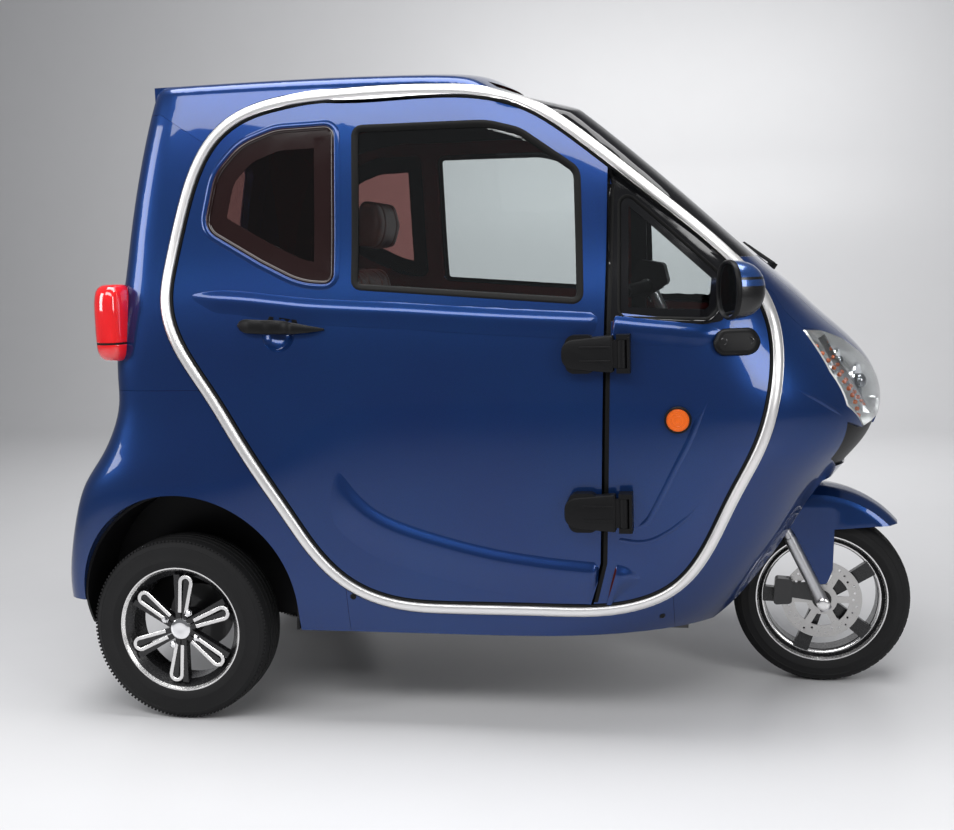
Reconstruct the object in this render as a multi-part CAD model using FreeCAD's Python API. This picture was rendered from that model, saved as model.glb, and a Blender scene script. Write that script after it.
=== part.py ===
# Enclosed three wheeled car: one steered wheel in front, two driven wheels behind.
# All sizes are in millimetres. +X is forward, +Y is the left side, +Z is up.
# Shapes are drawn with X = 0 at the rear axle and Z = 0 on the ground; each piece is then
# moved along X so that the origin lies on the ground under the middle of the bounding box.
import FreeCAD
import Part
import math
import os

from FreeCAD import Placement, Rotation, Vector

# Wheels and running gear
wheelbase = 1689.0
front_tyre_r = 240.0
front_tyre_w = 126.0
front_rim_r = 184.0
rear_tyre_r = 247.0
rear_tyre_w = 135.0
rear_rim_r = 174.0
rear_track = 956.0
rear_overhang = 366.0
bearing_clearance = 0.05
seat_gap = 0.3

# Fork and steering
rake_deg = 26.0
fork_offset = 32.0
fork_leg_y = 92.0
fork_leg_r = 17.0
fork_tube_r = 14.0
slider_length = 200.0
stem_r = 15.0
head_tube_r = 27.0
crown_z = 585.0
head_tube_z0 = 622.0
head_tube_z1 = 742.0
bar_z = 1095.0
bar_half = 270.0
disc_r = 108.0
disc_t = 4.0
disc_y = 62.0
fender_r = 284.0
fender_x = -21.0
fender_z = 28.0
fender_t = 4.0

# Body shell
roof_z = 1718.0
roof_crown = 0.22e-3
roof_fillet = 40.0
wall_t = 40.0
door_t = 30.0
glass_t = 5.0
glass_depth = 5.0
trim_w = 25.0
trim_proud = 5.0
trim_depth = 20.0
jamb_reach = 56.0
jamb_t = 8.0
lip_depth = 42.0
door_gap = 9.0
seam = 0.8
floor_t = 12.0
sill_z = 250.0
arch_x = 30.0
arch_z = 315.0
arch_r = 305.0
arch_inner_y = 352.0
liner_t = 7.0
well_half = 300.0
well_x = 1375.0
well_z = 615.0
shelf_z = 642.0
deck_z = 432.0

mirror_turn_deg = 24.0

# Number plate plinth on the rear bumper
plate_x = -rear_overhang
plate_z = 540.0
plate_spacing = 160.0
plate_hole_r = 3.0
plate_hole_depth = 20.0

# Doors and tailgate
hinge_x = 1190.0
hinge_y = 590.0
hinge_pin_r = 6.0
knuckle_r = 12.0
hinge_heights = ((924.0, 1016.0), (538.0, 634.0))
hinge_arm_x = 1055.0
hinge_arm_t = 13.0
lug_t = 12.0
gate_pin_x = -74.0
gate_pin_z = 1582.0
gate_pin_r = 4.0
gate_knuckle_r = 9.0
gate_hinge_y = 240.0
gate_gap = 5.0
gate_half = 400.0
gate_z0 = 900.0
gate_z1 = 1570.0
gate_top_gap = 7.0
gate_lug_r = 7.0
gate_lug_top = 1612.0
roof_seam_z = 1600.0

# Frame
rail_y = 250.0
rail_w = 40.0
low_rail_x0 = 330.0
low_rail_x1 = 1330.0
high_rail_z = 380.0
axle_tube_r = 30.0
spindle_r = 14.0
front_axle_r = 8.0
drum_r = 90.0

# Derived places
rear_axle_x = -(wheelbase + front_tyre_r - rear_overhang) / 2.0
rake = math.radians(rake_deg)
rear_wheel_y = rear_track / 2.0
axis_dir = Vector(-math.sin(rake), 0, math.cos(rake))
axis_foot_x = wheelbase - fork_offset / math.cos(rake)

# Rows of the body's skin from the sill to above the roof:
# height, rear end, front end, half width, bulge over the rear wheel, squareness of the front.
SKIN_ROWS = (
    (sill_z - 30, -349, 1430, 505, 8, 0.0),
    (sill_z, -357, 1470, 515, 16, 0.0),
    (300, -364, 1518, 530, 28, 0.0),
    (380, -360, 1574, 545, 40, 0.0),
    (470, -342, 1634, 555, 46, 0.0),
    (560, -318, 1680, 562, 46, 0.0),
    (640, -289, 1738, 567, 40, 0.0),
    (710, -228, 1808, 570, 28, 0.0),
    (780, -190, 1834, 572, 12, 0.0),
    (850, -166, 1834, 572, 0, 0.0),
    (920, -170, 1805, 571, 0, 0.0),
    (990, -167, 1740, 569, 0, 0.1),
    (1050, -162, 1668, 562, 0, 0.3),
    (1110, -155, 1612, 550, 0, 0.65),
    (1180, -145, 1528, 532, 0, 1.0),
    (1260, -138, 1442, 516, 0, 1.0),
    (1360, -123, 1335, 504, 0, 1.0),
    (1460, -104, 1222, 492, 0, 1.0),
    (1560, -82, 1105, 478, 0, 1.0),
    (1640, -63, 1000, 462, 0, 1.0),
    (1740, -30, 870, 440, 0, 1.0),
)

# Middle line of the roof: distance along the car, height below its highest part.
ROOF_LINE = (
    (-500, 4), (-200, 2), (100, 0), (400, 0), (640, 6), (760, 12), (830, 22), (880, 62), (940, 80), (1000, 92),
    (1500, 240), (2000, 400),
)

# Outer edge of the bright strip round the side opening, clockwise from the roof.
LOOP = (
    (460, 1637), (768, 1634), (868, 1622), (966, 1590), (1087, 1511), (1277, 1356),
    (1467, 1188), (1528, 1110), (1562, 1020), (1568, 940), (1558, 848), (1530, 745),
    (1462, 603), (1388, 450), (1312, 362), (1215, 320), (990, 309), (737, 310),
    (600, 320), (478, 368), (400, 440), (312, 575), (213, 730), (118, 880),
    (62, 965), (22, 1045), (5, 1123), (16, 1225), (47, 1352), (88, 1466),
    (150, 1553), (236, 1604), (340, 1628),
)

# Line between the door and the fixed side panel, from the top down.
DOOR_LINE = ((1164, 1700), (1155, 1215), (1149, 1000), (1137, 612), (1130, 450), (1104, 349), (1070, 250))

MAIN_WINDOW = ((517, 1543), (860, 1540), (943, 1517), (1088, 1413), (1096, 1088), (517, 1138))
MAIN_RADII = (24, 200, 120, 45, 24, 24)
REAR_WINDOW = ((468, 1546), (314, 1543), (219, 1510), (151, 1437), (121, 1300), (273, 1212), (382, 1158), (468, 1152))
REAR_RADII = (24, 150, 150, 120, 50, 220, 220, 24)
FRONT_WINDOW = ((1178, 1374), (1178, 1053), (1395, 1041), (1418, 1066), (1426, 1152), (1247, 1316))

# Front view outlines, half width and height.
HOOD = ((0, 1300), (560, 1300), (560, 1160), (460, 1104), (436, 1060), (409, 1014), (363, 1006),
        (284, 982), (220, 935), (168, 873), (150, 800), (118, 742), (0, 726))
LAMP = ((412, 1008), (352, 1003), (277, 977), (216, 932), (172, 874), (160, 815), (200, 778),
        (318, 760), (396, 820), (416, 905))
GRILLE = ((0, 722), (120, 738), (154, 808), (198, 774), (320, 756), (388, 778), (372, 684), (300, 655),
          (150, 645), (0, 643))
SCREEN = ((0, 1192), (394, 1192), (402, 1230), (384, 1590), (356, 1650), (0, 1658))


def v_side(x, z, y=0.0):
    """A point given by the side view."""
    return Vector(x, y, z)


def closed_wire(points):
    """A closed polygon."""
    return Part.makePolygon(list(points) + [points[0]])


def rounded_wire(points, radius):
    """A closed polygon with arcs at its corners, of one radius or one for each corner."""
    if isinstance(radius, (int, float)):
        radius = [radius] * len(points)
    edges = []
    count = len(points)
    starts = []
    ends = []
    mids = []
    for i, corner in enumerate(points):
        before = points[i - 1] - corner
        after = points[(i + 1) % count] - corner
        half_turn = before.getAngle(after) / 2.0
        if half_turn > math.radians(88):
            starts.append(corner)
            ends.append(corner)
            mids.append(None)
            continue
        reach = radius[i] / math.tan(half_turn)
        reach = min(reach, 0.45 * before.Length, 0.45 * after.Length)
        real_r = reach * math.tan(half_turn)
        bisector = (before.normalize() + after.normalize()).normalize()
        centre = corner + bisector * (real_r / math.sin(half_turn))
        starts.append(corner + before * reach)
        ends.append(corner + after * reach)
        mids.append(centre - bisector * real_r)
    for i in range(count):
        if mids[i] is not None:
            edges.append(Part.Arc(starts[i], mids[i], ends[i]).toShape())
        edges.append(Part.LineSegment(ends[i], starts[(i + 1) % count]).toShape())
    return Part.Wire(edges)


def side_prism(wire, y0, y1):
    """A side view outline pushed out from y0 to y1."""
    face = Part.Face(wire)
    face.translate(Vector(0, y0, 0))
    return face.extrude(Vector(0, y1 - y0, 0))


def side_block(points, y0, y1, radius=0.0):
    """A prism of a side view polygon, with its corners rounded where a radius is given."""
    corners = [v_side(x, z) for x, z in points]
    wire = rounded_wire(corners, radius) if radius else closed_wire(corners)
    return side_prism(wire, y0, y1)


def front_block(points, x0, x1, radius=0.0):
    """A front view outline, pushed out from x0 to x1."""
    corners = [Vector(0, y, z) for y, z in points]
    wire = rounded_wire(corners, radius) if radius > 0 else closed_wire(corners)
    face = Part.Face(wire)
    face.translate(Vector(x0, 0, 0))
    return face.extrude(Vector(x1 - x0, 0, 0))


def both_halves(points):
    """A half outline from the middle line to the middle line, completed by its mirror image."""
    return [(y, z) for y, z in points] + [(-y, z) for y, z in reversed(points) if y > 0]


def mirrored(shape):
    """The same piece on the other side of the car."""
    return shape.mirror(Vector(0, 0, 0), Vector(0, 1, 0))


def pair(shape):
    """A piece and its mirror image as one compound."""
    return Part.makeCompound([shape, mirrored(shape)])


def box(x0, x1, y0, y1, z0, z1):
    """A box between two corners."""
    return Part.makeBox(x1 - x0, y1 - y0, z1 - z0, Vector(x0, y0, z0))


def rod(start, end, radius):
    """A round bar between two points."""
    return Part.makeCylinder(radius, (end - start).Length, start, end - start)


def cross_rod(x, z, y0, y1, radius):
    """A round bar along Y."""
    return rod(Vector(x, y0, z), Vector(x, y1, z), radius)


def spline_solid_grid(grid):
    """A smooth cubic surface held by a grid of poles."""
    rows = len(grid)
    columns = len(grid[0])
    surface = Part.BSplineSurface()
    surface.buildFromPolesMultsKnots(
        grid,
        [4] + [1] * (rows - 4) + [4],
        [4] + [1] * (columns - 4) + [4],
        list(range(rows - 2)),
        list(range(columns - 2)),
        False, False, 3, 3,
    )
    return surface


def skin_row(index, inset):
    """The poles of one level of the skin, moved inwards by the inset."""
    height, rear, front, half, bulge, square = SKIN_ROWS[index]
    low = SKIN_ROWS[max(index - 1, 0)]
    high = SKIN_ROWS[min(index + 1, len(SKIN_ROWS) - 1)]
    rise = high[0] - low[0]
    front -= inset * math.hypot(1.0, (high[2] - low[2]) / rise)
    rear += inset * math.hypot(1.0, (high[1] - low[1]) / rise)
    half -= inset
    side_start = rear + 48
    side_end = front - (340 - 244 * square)
    outline = [(rear, 0), (rear, half * 0.5), (rear + 4, half * 0.86), (side_start, half - 8)]
    for step in range(1, 8):
        x = side_start + (side_end - side_start) * step / 8.0
        taper = 12 * ((x - 650) / 850.0) ** 2
        outline.append((x, half - taper + bulge * math.exp(-((x - arch_x) / 230.0) ** 2)))
    outline.append((side_end, half - (24 - 14 * square)))
    outline.append((front - (120 - 99 * square), half - (130 - 108 * square)))
    outline.append((front, (220 + 80 * square) * half / 560.0))
    outline.append((front, 0))
    height += 0.2 * inset if index == 0 else 0.0
    right = [Vector(x, -y, height) for x, y in outline]
    left = [Vector(x, y, height) for x, y in reversed(outline[:-1])]
    return right + left


def roof_block(inset):
    """Everything under the crowned roof surface."""
    half = 700
    columns = [half * (n / 3.0 - 1.0) for n in range(7)]
    grid = []
    for x, droop in ROOF_LINE:
        grid.append([Vector(x, y, roof_z - inset - droop - roof_crown * y * y) for y in columns])
    return spline_solid_grid(grid).toShape().extrude(Vector(0, 0, -roof_z))


def plain_form(inset):
    """The closed form of the whole body, moved inwards by the inset, with a sharp roof edge."""
    grid = [skin_row(i, inset) for i in range(len(SKIN_ROWS))]
    surface = spline_solid_grid(grid)
    side = surface.toShape()
    bottom = Part.Face(Part.Wire([surface.uIso(0).toShape()]))
    top = Part.Face(Part.Wire([surface.uIso(len(grid) - 3).toShape()]))
    shell = Part.makeShell([side, bottom, top])
    shell.sewShape()
    solid = Part.makeSolid(shell)
    if solid.Volume < 0:
        solid.reverse()
    return solid.common(roof_block(inset)).Solids[0]


def body_form(inset):
    """The body's form with its roof edge rounded."""
    solid = plain_form(inset)
    rim = [edge for edge in solid.Edges if edge.BoundBox.ZMin > 1450]
    return solid.makeFillet(max(roof_fillet - inset, 8.0), rim).Solids[0]


FORMS = {}


def form(inset):
    """The body's form at one inset, made once."""
    if inset not in FORMS:
        FORMS[inset] = body_form(inset)
    return FORMS[inset]


def layer(outer, inner):
    """What lies between two depths under the skin."""
    hollow = form(inner).Shells[0].copy()
    hollow.reverse()
    return Part.makeSolid(Part.makeCompound([form(outer).Shells[0], hollow]))


def loop_curve(inset):
    """The opening's outline, moved inwards by the inset."""
    base = Part.BSplineCurve()
    base.interpolate([v_side(x, z) for x, z in LOOP], PeriodicFlag=True)
    if inset == 0:
        return Part.Wire([base.toShape()])
    first, last = base.FirstParameter, base.LastParameter
    count = 2 * len(LOOP)
    points = []
    for n in range(count):
        t = first + (last - first) * n / count
        along = base.tangent(t)[0]
        inward = Vector(-along.z, 0, along.x)
        points.append(base.value(t) - inward * inset)
    moved = Part.BSplineCurve()
    moved.interpolate(points, PeriodicFlag=True)
    return Part.Wire([moved.toShape()])


def loop_prism(inset):
    """The opening's outline as a prism through the right side of the body."""
    return side_prism(loop_curve(inset), -760, -120)


def loop_ring(outer, inner, reach=640):
    """A band along the opening's outline, as a prism into the right side."""
    band = Part.Face(loop_curve(outer)).cut(Part.Face(loop_curve(inner)))
    band.translate(Vector(0, -760, 0))
    return band.extrude(Vector(0, reach, 0))


def door_side(offset, front):
    """Everything behind, or in front of, the line between door and side panel."""
    far = 3000 if front else -1500
    line = [(x + offset, z) for x, z in DOOR_LINE]
    return side_block(line + [(far, line[-1][1]), (far, line[0][1])], -760, -120)


def keep_largest(shape):
    """The one solid that a cut should leave."""
    if not shape.Solids:
        return shape
    return max(shape.Solids, key=lambda solid: solid.Volume)


def on_skin(block):
    """A block that stands on the outside of the skin."""
    return keep_largest(block.cut(form(-seat_gap)))


def wheel_well():
    """The free space round the steered wheel."""
    return box(well_x, 2100, -well_half, well_half, 0, well_z)


def arch_cut(radius):
    """The free space round the rear wheels, both sides."""
    right = cross_rod(arch_x, arch_z, -760, -arch_inner_y, radius)
    below = box(arch_x - radius, arch_x + radius, -760, -arch_inner_y, 0, arch_z)
    return pair(right.fuse(below))


def make_shell_pieces():
    """Roof, rear body, rear fenders, bumper, sills, front cowl, hood, grille and lamps."""
    wall = layer(0.0, wall_t).common(box(-600, 2100, -800, 800, sill_z, 1800))
    opening = pair(loop_prism(0.0))
    wall = wall.cut(opening).cut(arch_cut(arch_r)).cut(wheel_well())
    far = 2500
    gap = seam / 2.0
    pieces = {}

    roof_zone = [(-far, roof_seam_z), (-5, roof_seam_z), (109, 1526), (600, 1300), (1300, 1190), (far, 1190),
                 (far, 3000), (-far, 3000)]
    roof_part = wall.common(side_block([(x, z + gap) for x, z in roof_zone], -900, 900))
    below_roof = wall.cut(side_block([(x, z - gap) for x, z in roof_zone], -900, 900))
    screen_cut = front_block(both_halves(SCREEN), 700, far)
    pieces["windshield"] = layer(glass_depth, glass_depth + glass_t).common(
        front_block(grown(both_halves(SCREEN), -seat_gap), 700, far))
    header = front_block(grown(gate_corners(roof_seam_z + 100), gate_gap - seam), -600, 200)
    header = header.common(box(-600, 200, -gate_half, gate_half, gate_z1 + gate_top_gap, roof_seam_z + seam))
    for y in (-gate_hinge_y, gate_hinge_y):
        header = header.cut(box(-600, 200, y - 37, y + 37, gate_z1, roof_seam_z + seam))
    pieces["roof"] = roof_part.cut(screen_cut).fuse(wall.common(header))

    front_zone = side_block([(1300 + gap, -100), (1300 + gap, 700), (600, 1300), (600, 3000), (far, 3000),
                             (far, -100)], -900, 900)
    nose = below_roof.common(front_zone)
    hood_zone = front_block(both_halves(HOOD), 1150, far)
    lamp_zone = pair(front_block([(-y, z) for y, z in LAMP], 1300, far))
    grille_zone = front_block(both_halves(GRILLE), 1300, far)
    pieces["hood"] = keep_largest(nose.common(hood_zone))
    around_lamp = front_block(grown(both_halves(HOOD), seam), 1150, far).fuse(pair(loop_prism(0)))
    pieces["headlamps"] = layer(-2.0, wall_t).common(lamp_zone).cut(around_lamp)
    pieces["nose_grille"] = layer(6.0, wall_t).common(grille_zone)
    lamp_hole = front_block([(-y, z) for y, z in grown(LAMP, seam)], 1300, far)
    cowl = nose.cut(front_block(grown(both_halves(HOOD), seam), 1150, far)).cut(pair(lamp_hole))
    cowl = cowl.cut(front_block(grown(both_halves(GRILLE), seam), 1300, far))
    pieces["front_cowl"] = keep_largest(cowl)

    rear = below_roof.cut(side_block([(1300 - gap, -100), (1300 - gap, 700), (600, 1300), (600, 3000), (far, 3000),
                                      (far, -100)], -900, 900))
    gate_zone = front_block(grown(gate_corners(roof_seam_z + 100), gate_gap), -600, 200)
    upper_zone = box(-600, 600, -900, 900, 890 + gap, 1700)
    pieces["rear_body"] = rear.common(upper_zone).cut(gate_zone)
    lower = rear.common(box(-600, 470 - gap, -900, 900, 0, 890 - gap))
    lower = lower.cut(box(-600, 0, -900, 900, 0, 318))
    mid = 330.0
    plinth = box(plate_x, -300, -115, 115, 470, 600).cut(form(1.0))
    bumper = keep_largest(lower.common(box(-600, 600, -mid + gap, mid - gap, 0, 900)).fuse(plinth))
    for y in (-plate_spacing / 2.0, plate_spacing / 2.0):
        bumper = bumper.cut(rod(Vector(plate_x - 1, y, plate_z), Vector(plate_x + plate_hole_depth, y, plate_z),
                                plate_hole_r))
    pieces["rear_bumper"] = bumper
    pieces["rear_fenders"] = lower.cut(box(-600, 600, -mid - gap, mid + gap, 0, 900))
    pieces["sills"] = rear.common(box(470 + gap, 1300, -900, 900, 0, 700))
    return pieces


def grown(points, margin):
    """A closed polygon moved outwards by a margin, corner by corner."""
    area = 0.0
    count = len(points)
    for i, (x, z) in enumerate(points):
        next_x, next_z = points[(i + 1) % count]
        area += x * next_z - next_x * z
    turn = 1.0 if area > 0 else -1.0
    moved = []
    for i, (x, z) in enumerate(points):
        before = Vector(x - points[i - 1][0], z - points[i - 1][1], 0).normalize()
        after = Vector(points[(i + 1) % count][0] - x, points[(i + 1) % count][1] - z, 0).normalize()
        out = (Vector(before.y, -before.x, 0) + Vector(after.y, -after.x, 0)) * turn
        out = out * (1.0 / max(0.5 * out.Length ** 2, 0.4))
        moved.append((x + margin * out.x, z + margin * out.y))
    return moved


def make_side_opening():
    """The bright strip, the jamb behind it and the fixed front side panel of the right side."""
    strip = layer(-trim_proud, trim_depth).common(loop_ring(seat_gap, trim_w))
    lip = plain_form(lip_depth)
    wall = form(trim_depth + seat_gap).cut(plain_form(lip_depth + jamb_t))
    wall = wall.common(loop_ring(seat_gap, jamb_reach, 360))
    pocket = side_prism(loop_curve(trim_w), -770, -370).cut(lip)
    post_zone = door_side(-14.0, True).common(door_side(34.0, False)).common(loop_prism(seat_gap))
    slab = lip.common(post_zone)
    post = slab.cut(slab.translated(Vector(0, 3 * jamb_t, 0)))
    jamb = keep_largest(wall.cut(pocket).fuse(post))

    panel = layer(0.0, lip_depth - seat_gap).common(loop_prism(trim_w + door_gap)).common(door_side(4.0, True))
    window = side_block(FRONT_WINDOW, -760, -120, 24)
    panel = keep_largest(panel.cut(window))
    pane = layer(glass_depth, glass_depth + glass_t).common(
        side_block(grown(FRONT_WINDOW, -seat_gap), -760, -120, 24))
    strip = keep_largest(strip.cut(front_block(both_halves(SCREEN), 700, 2500)))
    return strip, jamb, panel, keep_largest(pane)


def make_door():
    """The right door with its panes, handle and hinge arms."""
    door = layer(0.0, door_t).common(loop_prism(trim_w + door_gap)).common(door_side(-4.0, False))
    for outline, radii in ((MAIN_WINDOW, MAIN_RADII), (REAR_WINDOW, REAR_RADII)):
        door = door.cut(side_block(outline, -760, -120, radii))
    recess = Part.makeSphere(52, Vector(326, -592, 1030))
    door = keep_largest(door.cut(recess))
    panes = []
    for outline, radii in ((MAIN_WINDOW, MAIN_RADII), (REAR_WINDOW, REAR_RADII)):
        zone = side_block(grown(outline, -seat_gap), -760, -120, radii)
        panes.append(keep_largest(layer(glass_depth, glass_depth + glass_t).common(zone)))

    bar_zone = side_block(((230, 1064), (455, 1058), (455, 1040), (230, 1044)), -760, -120, 8)
    bar = layer(-24.0, -9.0).common(bar_zone)
    feet = side_block(((230, 1066), (270, 1066), (270, 1042), (230, 1042)), -760, -120).fuse(
        side_block(((400, 1064), (455, 1062), (455, 1038), (400, 1040)), -760, -120))
    feet = layer(-12.0, -seat_gap).common(feet)
    handle = keep_largest(bar.fuse(feet))

    arms = []
    for z0, z1 in hinge_heights:
        inner_z0 = z0 + lug_t + 0.5
        inner_z1 = z1 - lug_t - 0.5
        outer_y = -hinge_y - hinge_arm_t / 2.0
        plate = side_block(((hinge_arm_x, z0), (hinge_x, z0), (hinge_x, z1), (hinge_arm_x, z1)),
                           outer_y, outer_y + hinge_arm_t, 0)
        pad = on_skin(side_block(((hinge_arm_x, z0), (1128, z0), (1128, z1), (hinge_arm_x, z1)), outer_y, -450, 22))
        plate = plate.common(box(hinge_arm_x + 20, hinge_x, -700, -500, inner_z0, inner_z1)).fuse(pad)
        knuckle = Part.makeCylinder(knuckle_r, inner_z1 - inner_z0, Vector(hinge_x, -hinge_y, inner_z0))
        bore = Part.makeCylinder(hinge_pin_r + bearing_clearance, z1 - z0, Vector(hinge_x, -hinge_y, z0))
        arms.append(keep_largest(plate.fuse(knuckle).cut(bore)))
    return door, Part.makeCompound(panes), handle, Part.makeCompound(arms)


def make_hinge_posts():
    """The fixed lugs and pins that carry the right door."""
    posts = []
    for z0, z1 in hinge_heights:
        pin = Part.makeCylinder(hinge_pin_r, z1 - z0, Vector(hinge_x, -hinge_y, z0))
        lugs = box(hinge_x - knuckle_r, hinge_x + knuckle_r + 4, -hinge_y - knuckle_r, -450, z0, z0 + lug_t)
        lugs = lugs.fuse(box(hinge_x - knuckle_r, hinge_x + knuckle_r + 4, -hinge_y - knuckle_r, -450, z1 - lug_t, z1))
        back = box(hinge_x + knuckle_r + 1, hinge_x + knuckle_r + 8, -hinge_y - knuckle_r, -450, z0, z1)
        block = lugs.fuse(back).cut(form(-seat_gap))
        block = block.common(box(1000, 1400, -700, -500, 0, 2000))
        posts.append(keep_largest(block.fuse(pin)))
    return Part.makeCompound(posts)


def gate_corners(top):
    """The tailgate's outline in the front view, up to a height."""
    return [(-gate_half, gate_z0), (gate_half, gate_z0), (gate_half - 16, top), (-gate_half + 16, top)]


def make_tailgate():
    """The rear door with its pane, and the fixed lugs with the pins it turns on."""
    gate = layer(0.0, door_t).common(front_block(gate_corners(gate_z1), -600, 200, 12))
    glass_corners = [(-345, 1130), (345, 1130), (325, 1525), (-325, 1525)]
    gate = gate.cut(front_block(glass_corners, -600, 200, 50))
    pane = keep_largest(layer(glass_depth, glass_depth + glass_t).common(
        front_block(grown(glass_corners, -seat_gap), -600, 200, 50)))
    pins = []
    for y in (-gate_hinge_y, gate_hinge_y):
        knuckle = cross_rod(gate_pin_x, gate_pin_z, y - 20, y + 20, gate_knuckle_r)
        web = box(gate_pin_x - gate_knuckle_r, gate_pin_x + gate_knuckle_r, y - 20, y + 20, gate_z1 - 12, gate_pin_z)
        gate = gate.fuse(knuckle).fuse(web)
        gate = gate.cut(cross_rod(gate_pin_x, gate_pin_z, y - 40, y + 40, gate_pin_r + bearing_clearance))
        for start in (y - 30.5, y + 20.5):
            pins.append(cross_rod(gate_pin_x, gate_pin_z, start, start + 10, gate_lug_r))
            pins.append(box(gate_pin_x - gate_lug_r, gate_pin_x + 40, start, start + 10, gate_pin_z, gate_lug_top))
        pins.append(cross_rod(gate_pin_x, gate_pin_z, y - 25, y + 25, gate_pin_r))
    gate = keep_largest(gate)
    return gate, pane, pins


def make_spoiler():
    """The lip that the roof carries over the tailgate."""
    profile = side_block(((60, 1720), (-20, 1716), (-131, 1676), (-135, 1659), (-40, 1604), (60, 1600)), -420, 420)
    plan = Part.makeCylinder(900, 200, Vector(762, 0, 1550))
    lip = profile.common(plan).common(roof_block(0.0)).cut(form(wall_t / 2.0))
    return lip


def make_wheel(radius, width, rim_r, bead_r):
    """A tyre whose axis is Y, centred at the origin."""
    half = width / 2.0
    tread = half - 16
    crown = radius - 5
    outline = [
        (bead_r, -half + 20), (rim_r + 16, -half), (crown - 28, -half + 1), (crown, -tread),
        (radius, -tread / 2), (radius, tread / 2), (crown, tread), (crown - 28, half - 1), (rim_r + 16, half),
        (bead_r, half - 20),
    ]
    wire = closed_wire([Vector(0, y, r) for r, y in outline])
    tyre = Part.Face(wire).revolve(Vector(0, 0, 0), Vector(0, 1, 0), 360)
    return tyre


def make_rim(outer_r, barrel_r, half, face_y, spoke_count, twin, bore_r, hub_r):
    """A cast wheel whose outer face looks along -Y."""
    lip = 9.0
    outline = [
        (outer_r, -half), (outer_r, -half + 8), (barrel_r, -half + 22), (barrel_r, half - 22),
        (outer_r - 2, half - 8), (outer_r - 2, half), (outer_r - lip, half), (barrel_r - 7, half - 24),
        (barrel_r - 7, -half + 26), (outer_r - lip, -half),
    ]
    rim = Part.Face(closed_wire([Vector(0, y, r) for r, y in outline])).revolve(
        Vector(0, 0, 0), Vector(0, 1, 0), 360)
    hub = cross_rod(0, 0, face_y + 6, half - 14, hub_r)
    rim = rim.fuse(hub)
    reach = barrel_r - 3
    for n in range(spoke_count):
        angle = 360.0 * n / spoke_count + (86.0 if twin else 33.0)
        arms = (-13.0, 13.0) if twin else (0.0,)
        for shift in arms:
            half_in = 7.0 if twin else 16.0
            half_out = 8.0 if twin else 21.0
            spread = 1.15 if twin else 0.0
            arm = Part.Face(closed_wire([
                Vector(20, 0, shift * 0.6 - half_in), Vector(reach, 0, shift * spread - half_out),
                Vector(reach, 0, shift * spread + half_out), Vector(20, 0, shift * 0.6 + half_in),
            ])).extrude(Vector(0, 22, 0))
            arm.translate(Vector(0, face_y, 0))
            arm.rotate(Vector(0, 0, 0), Vector(0, 1, 0), -angle)
            rim = rim.fuse(arm)
    return rim.cut(cross_rod(0, 0, -200, 200, bore_r))


def steer_point(z, forward=0.0):
    """A point on the steering axis at a height, moved forwards square to the axis."""
    x = axis_foot_x - math.tan(rake) * (z - front_tyre_r)
    return Vector(x + forward * math.cos(rake), 0, z + forward * math.sin(rake))


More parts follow.
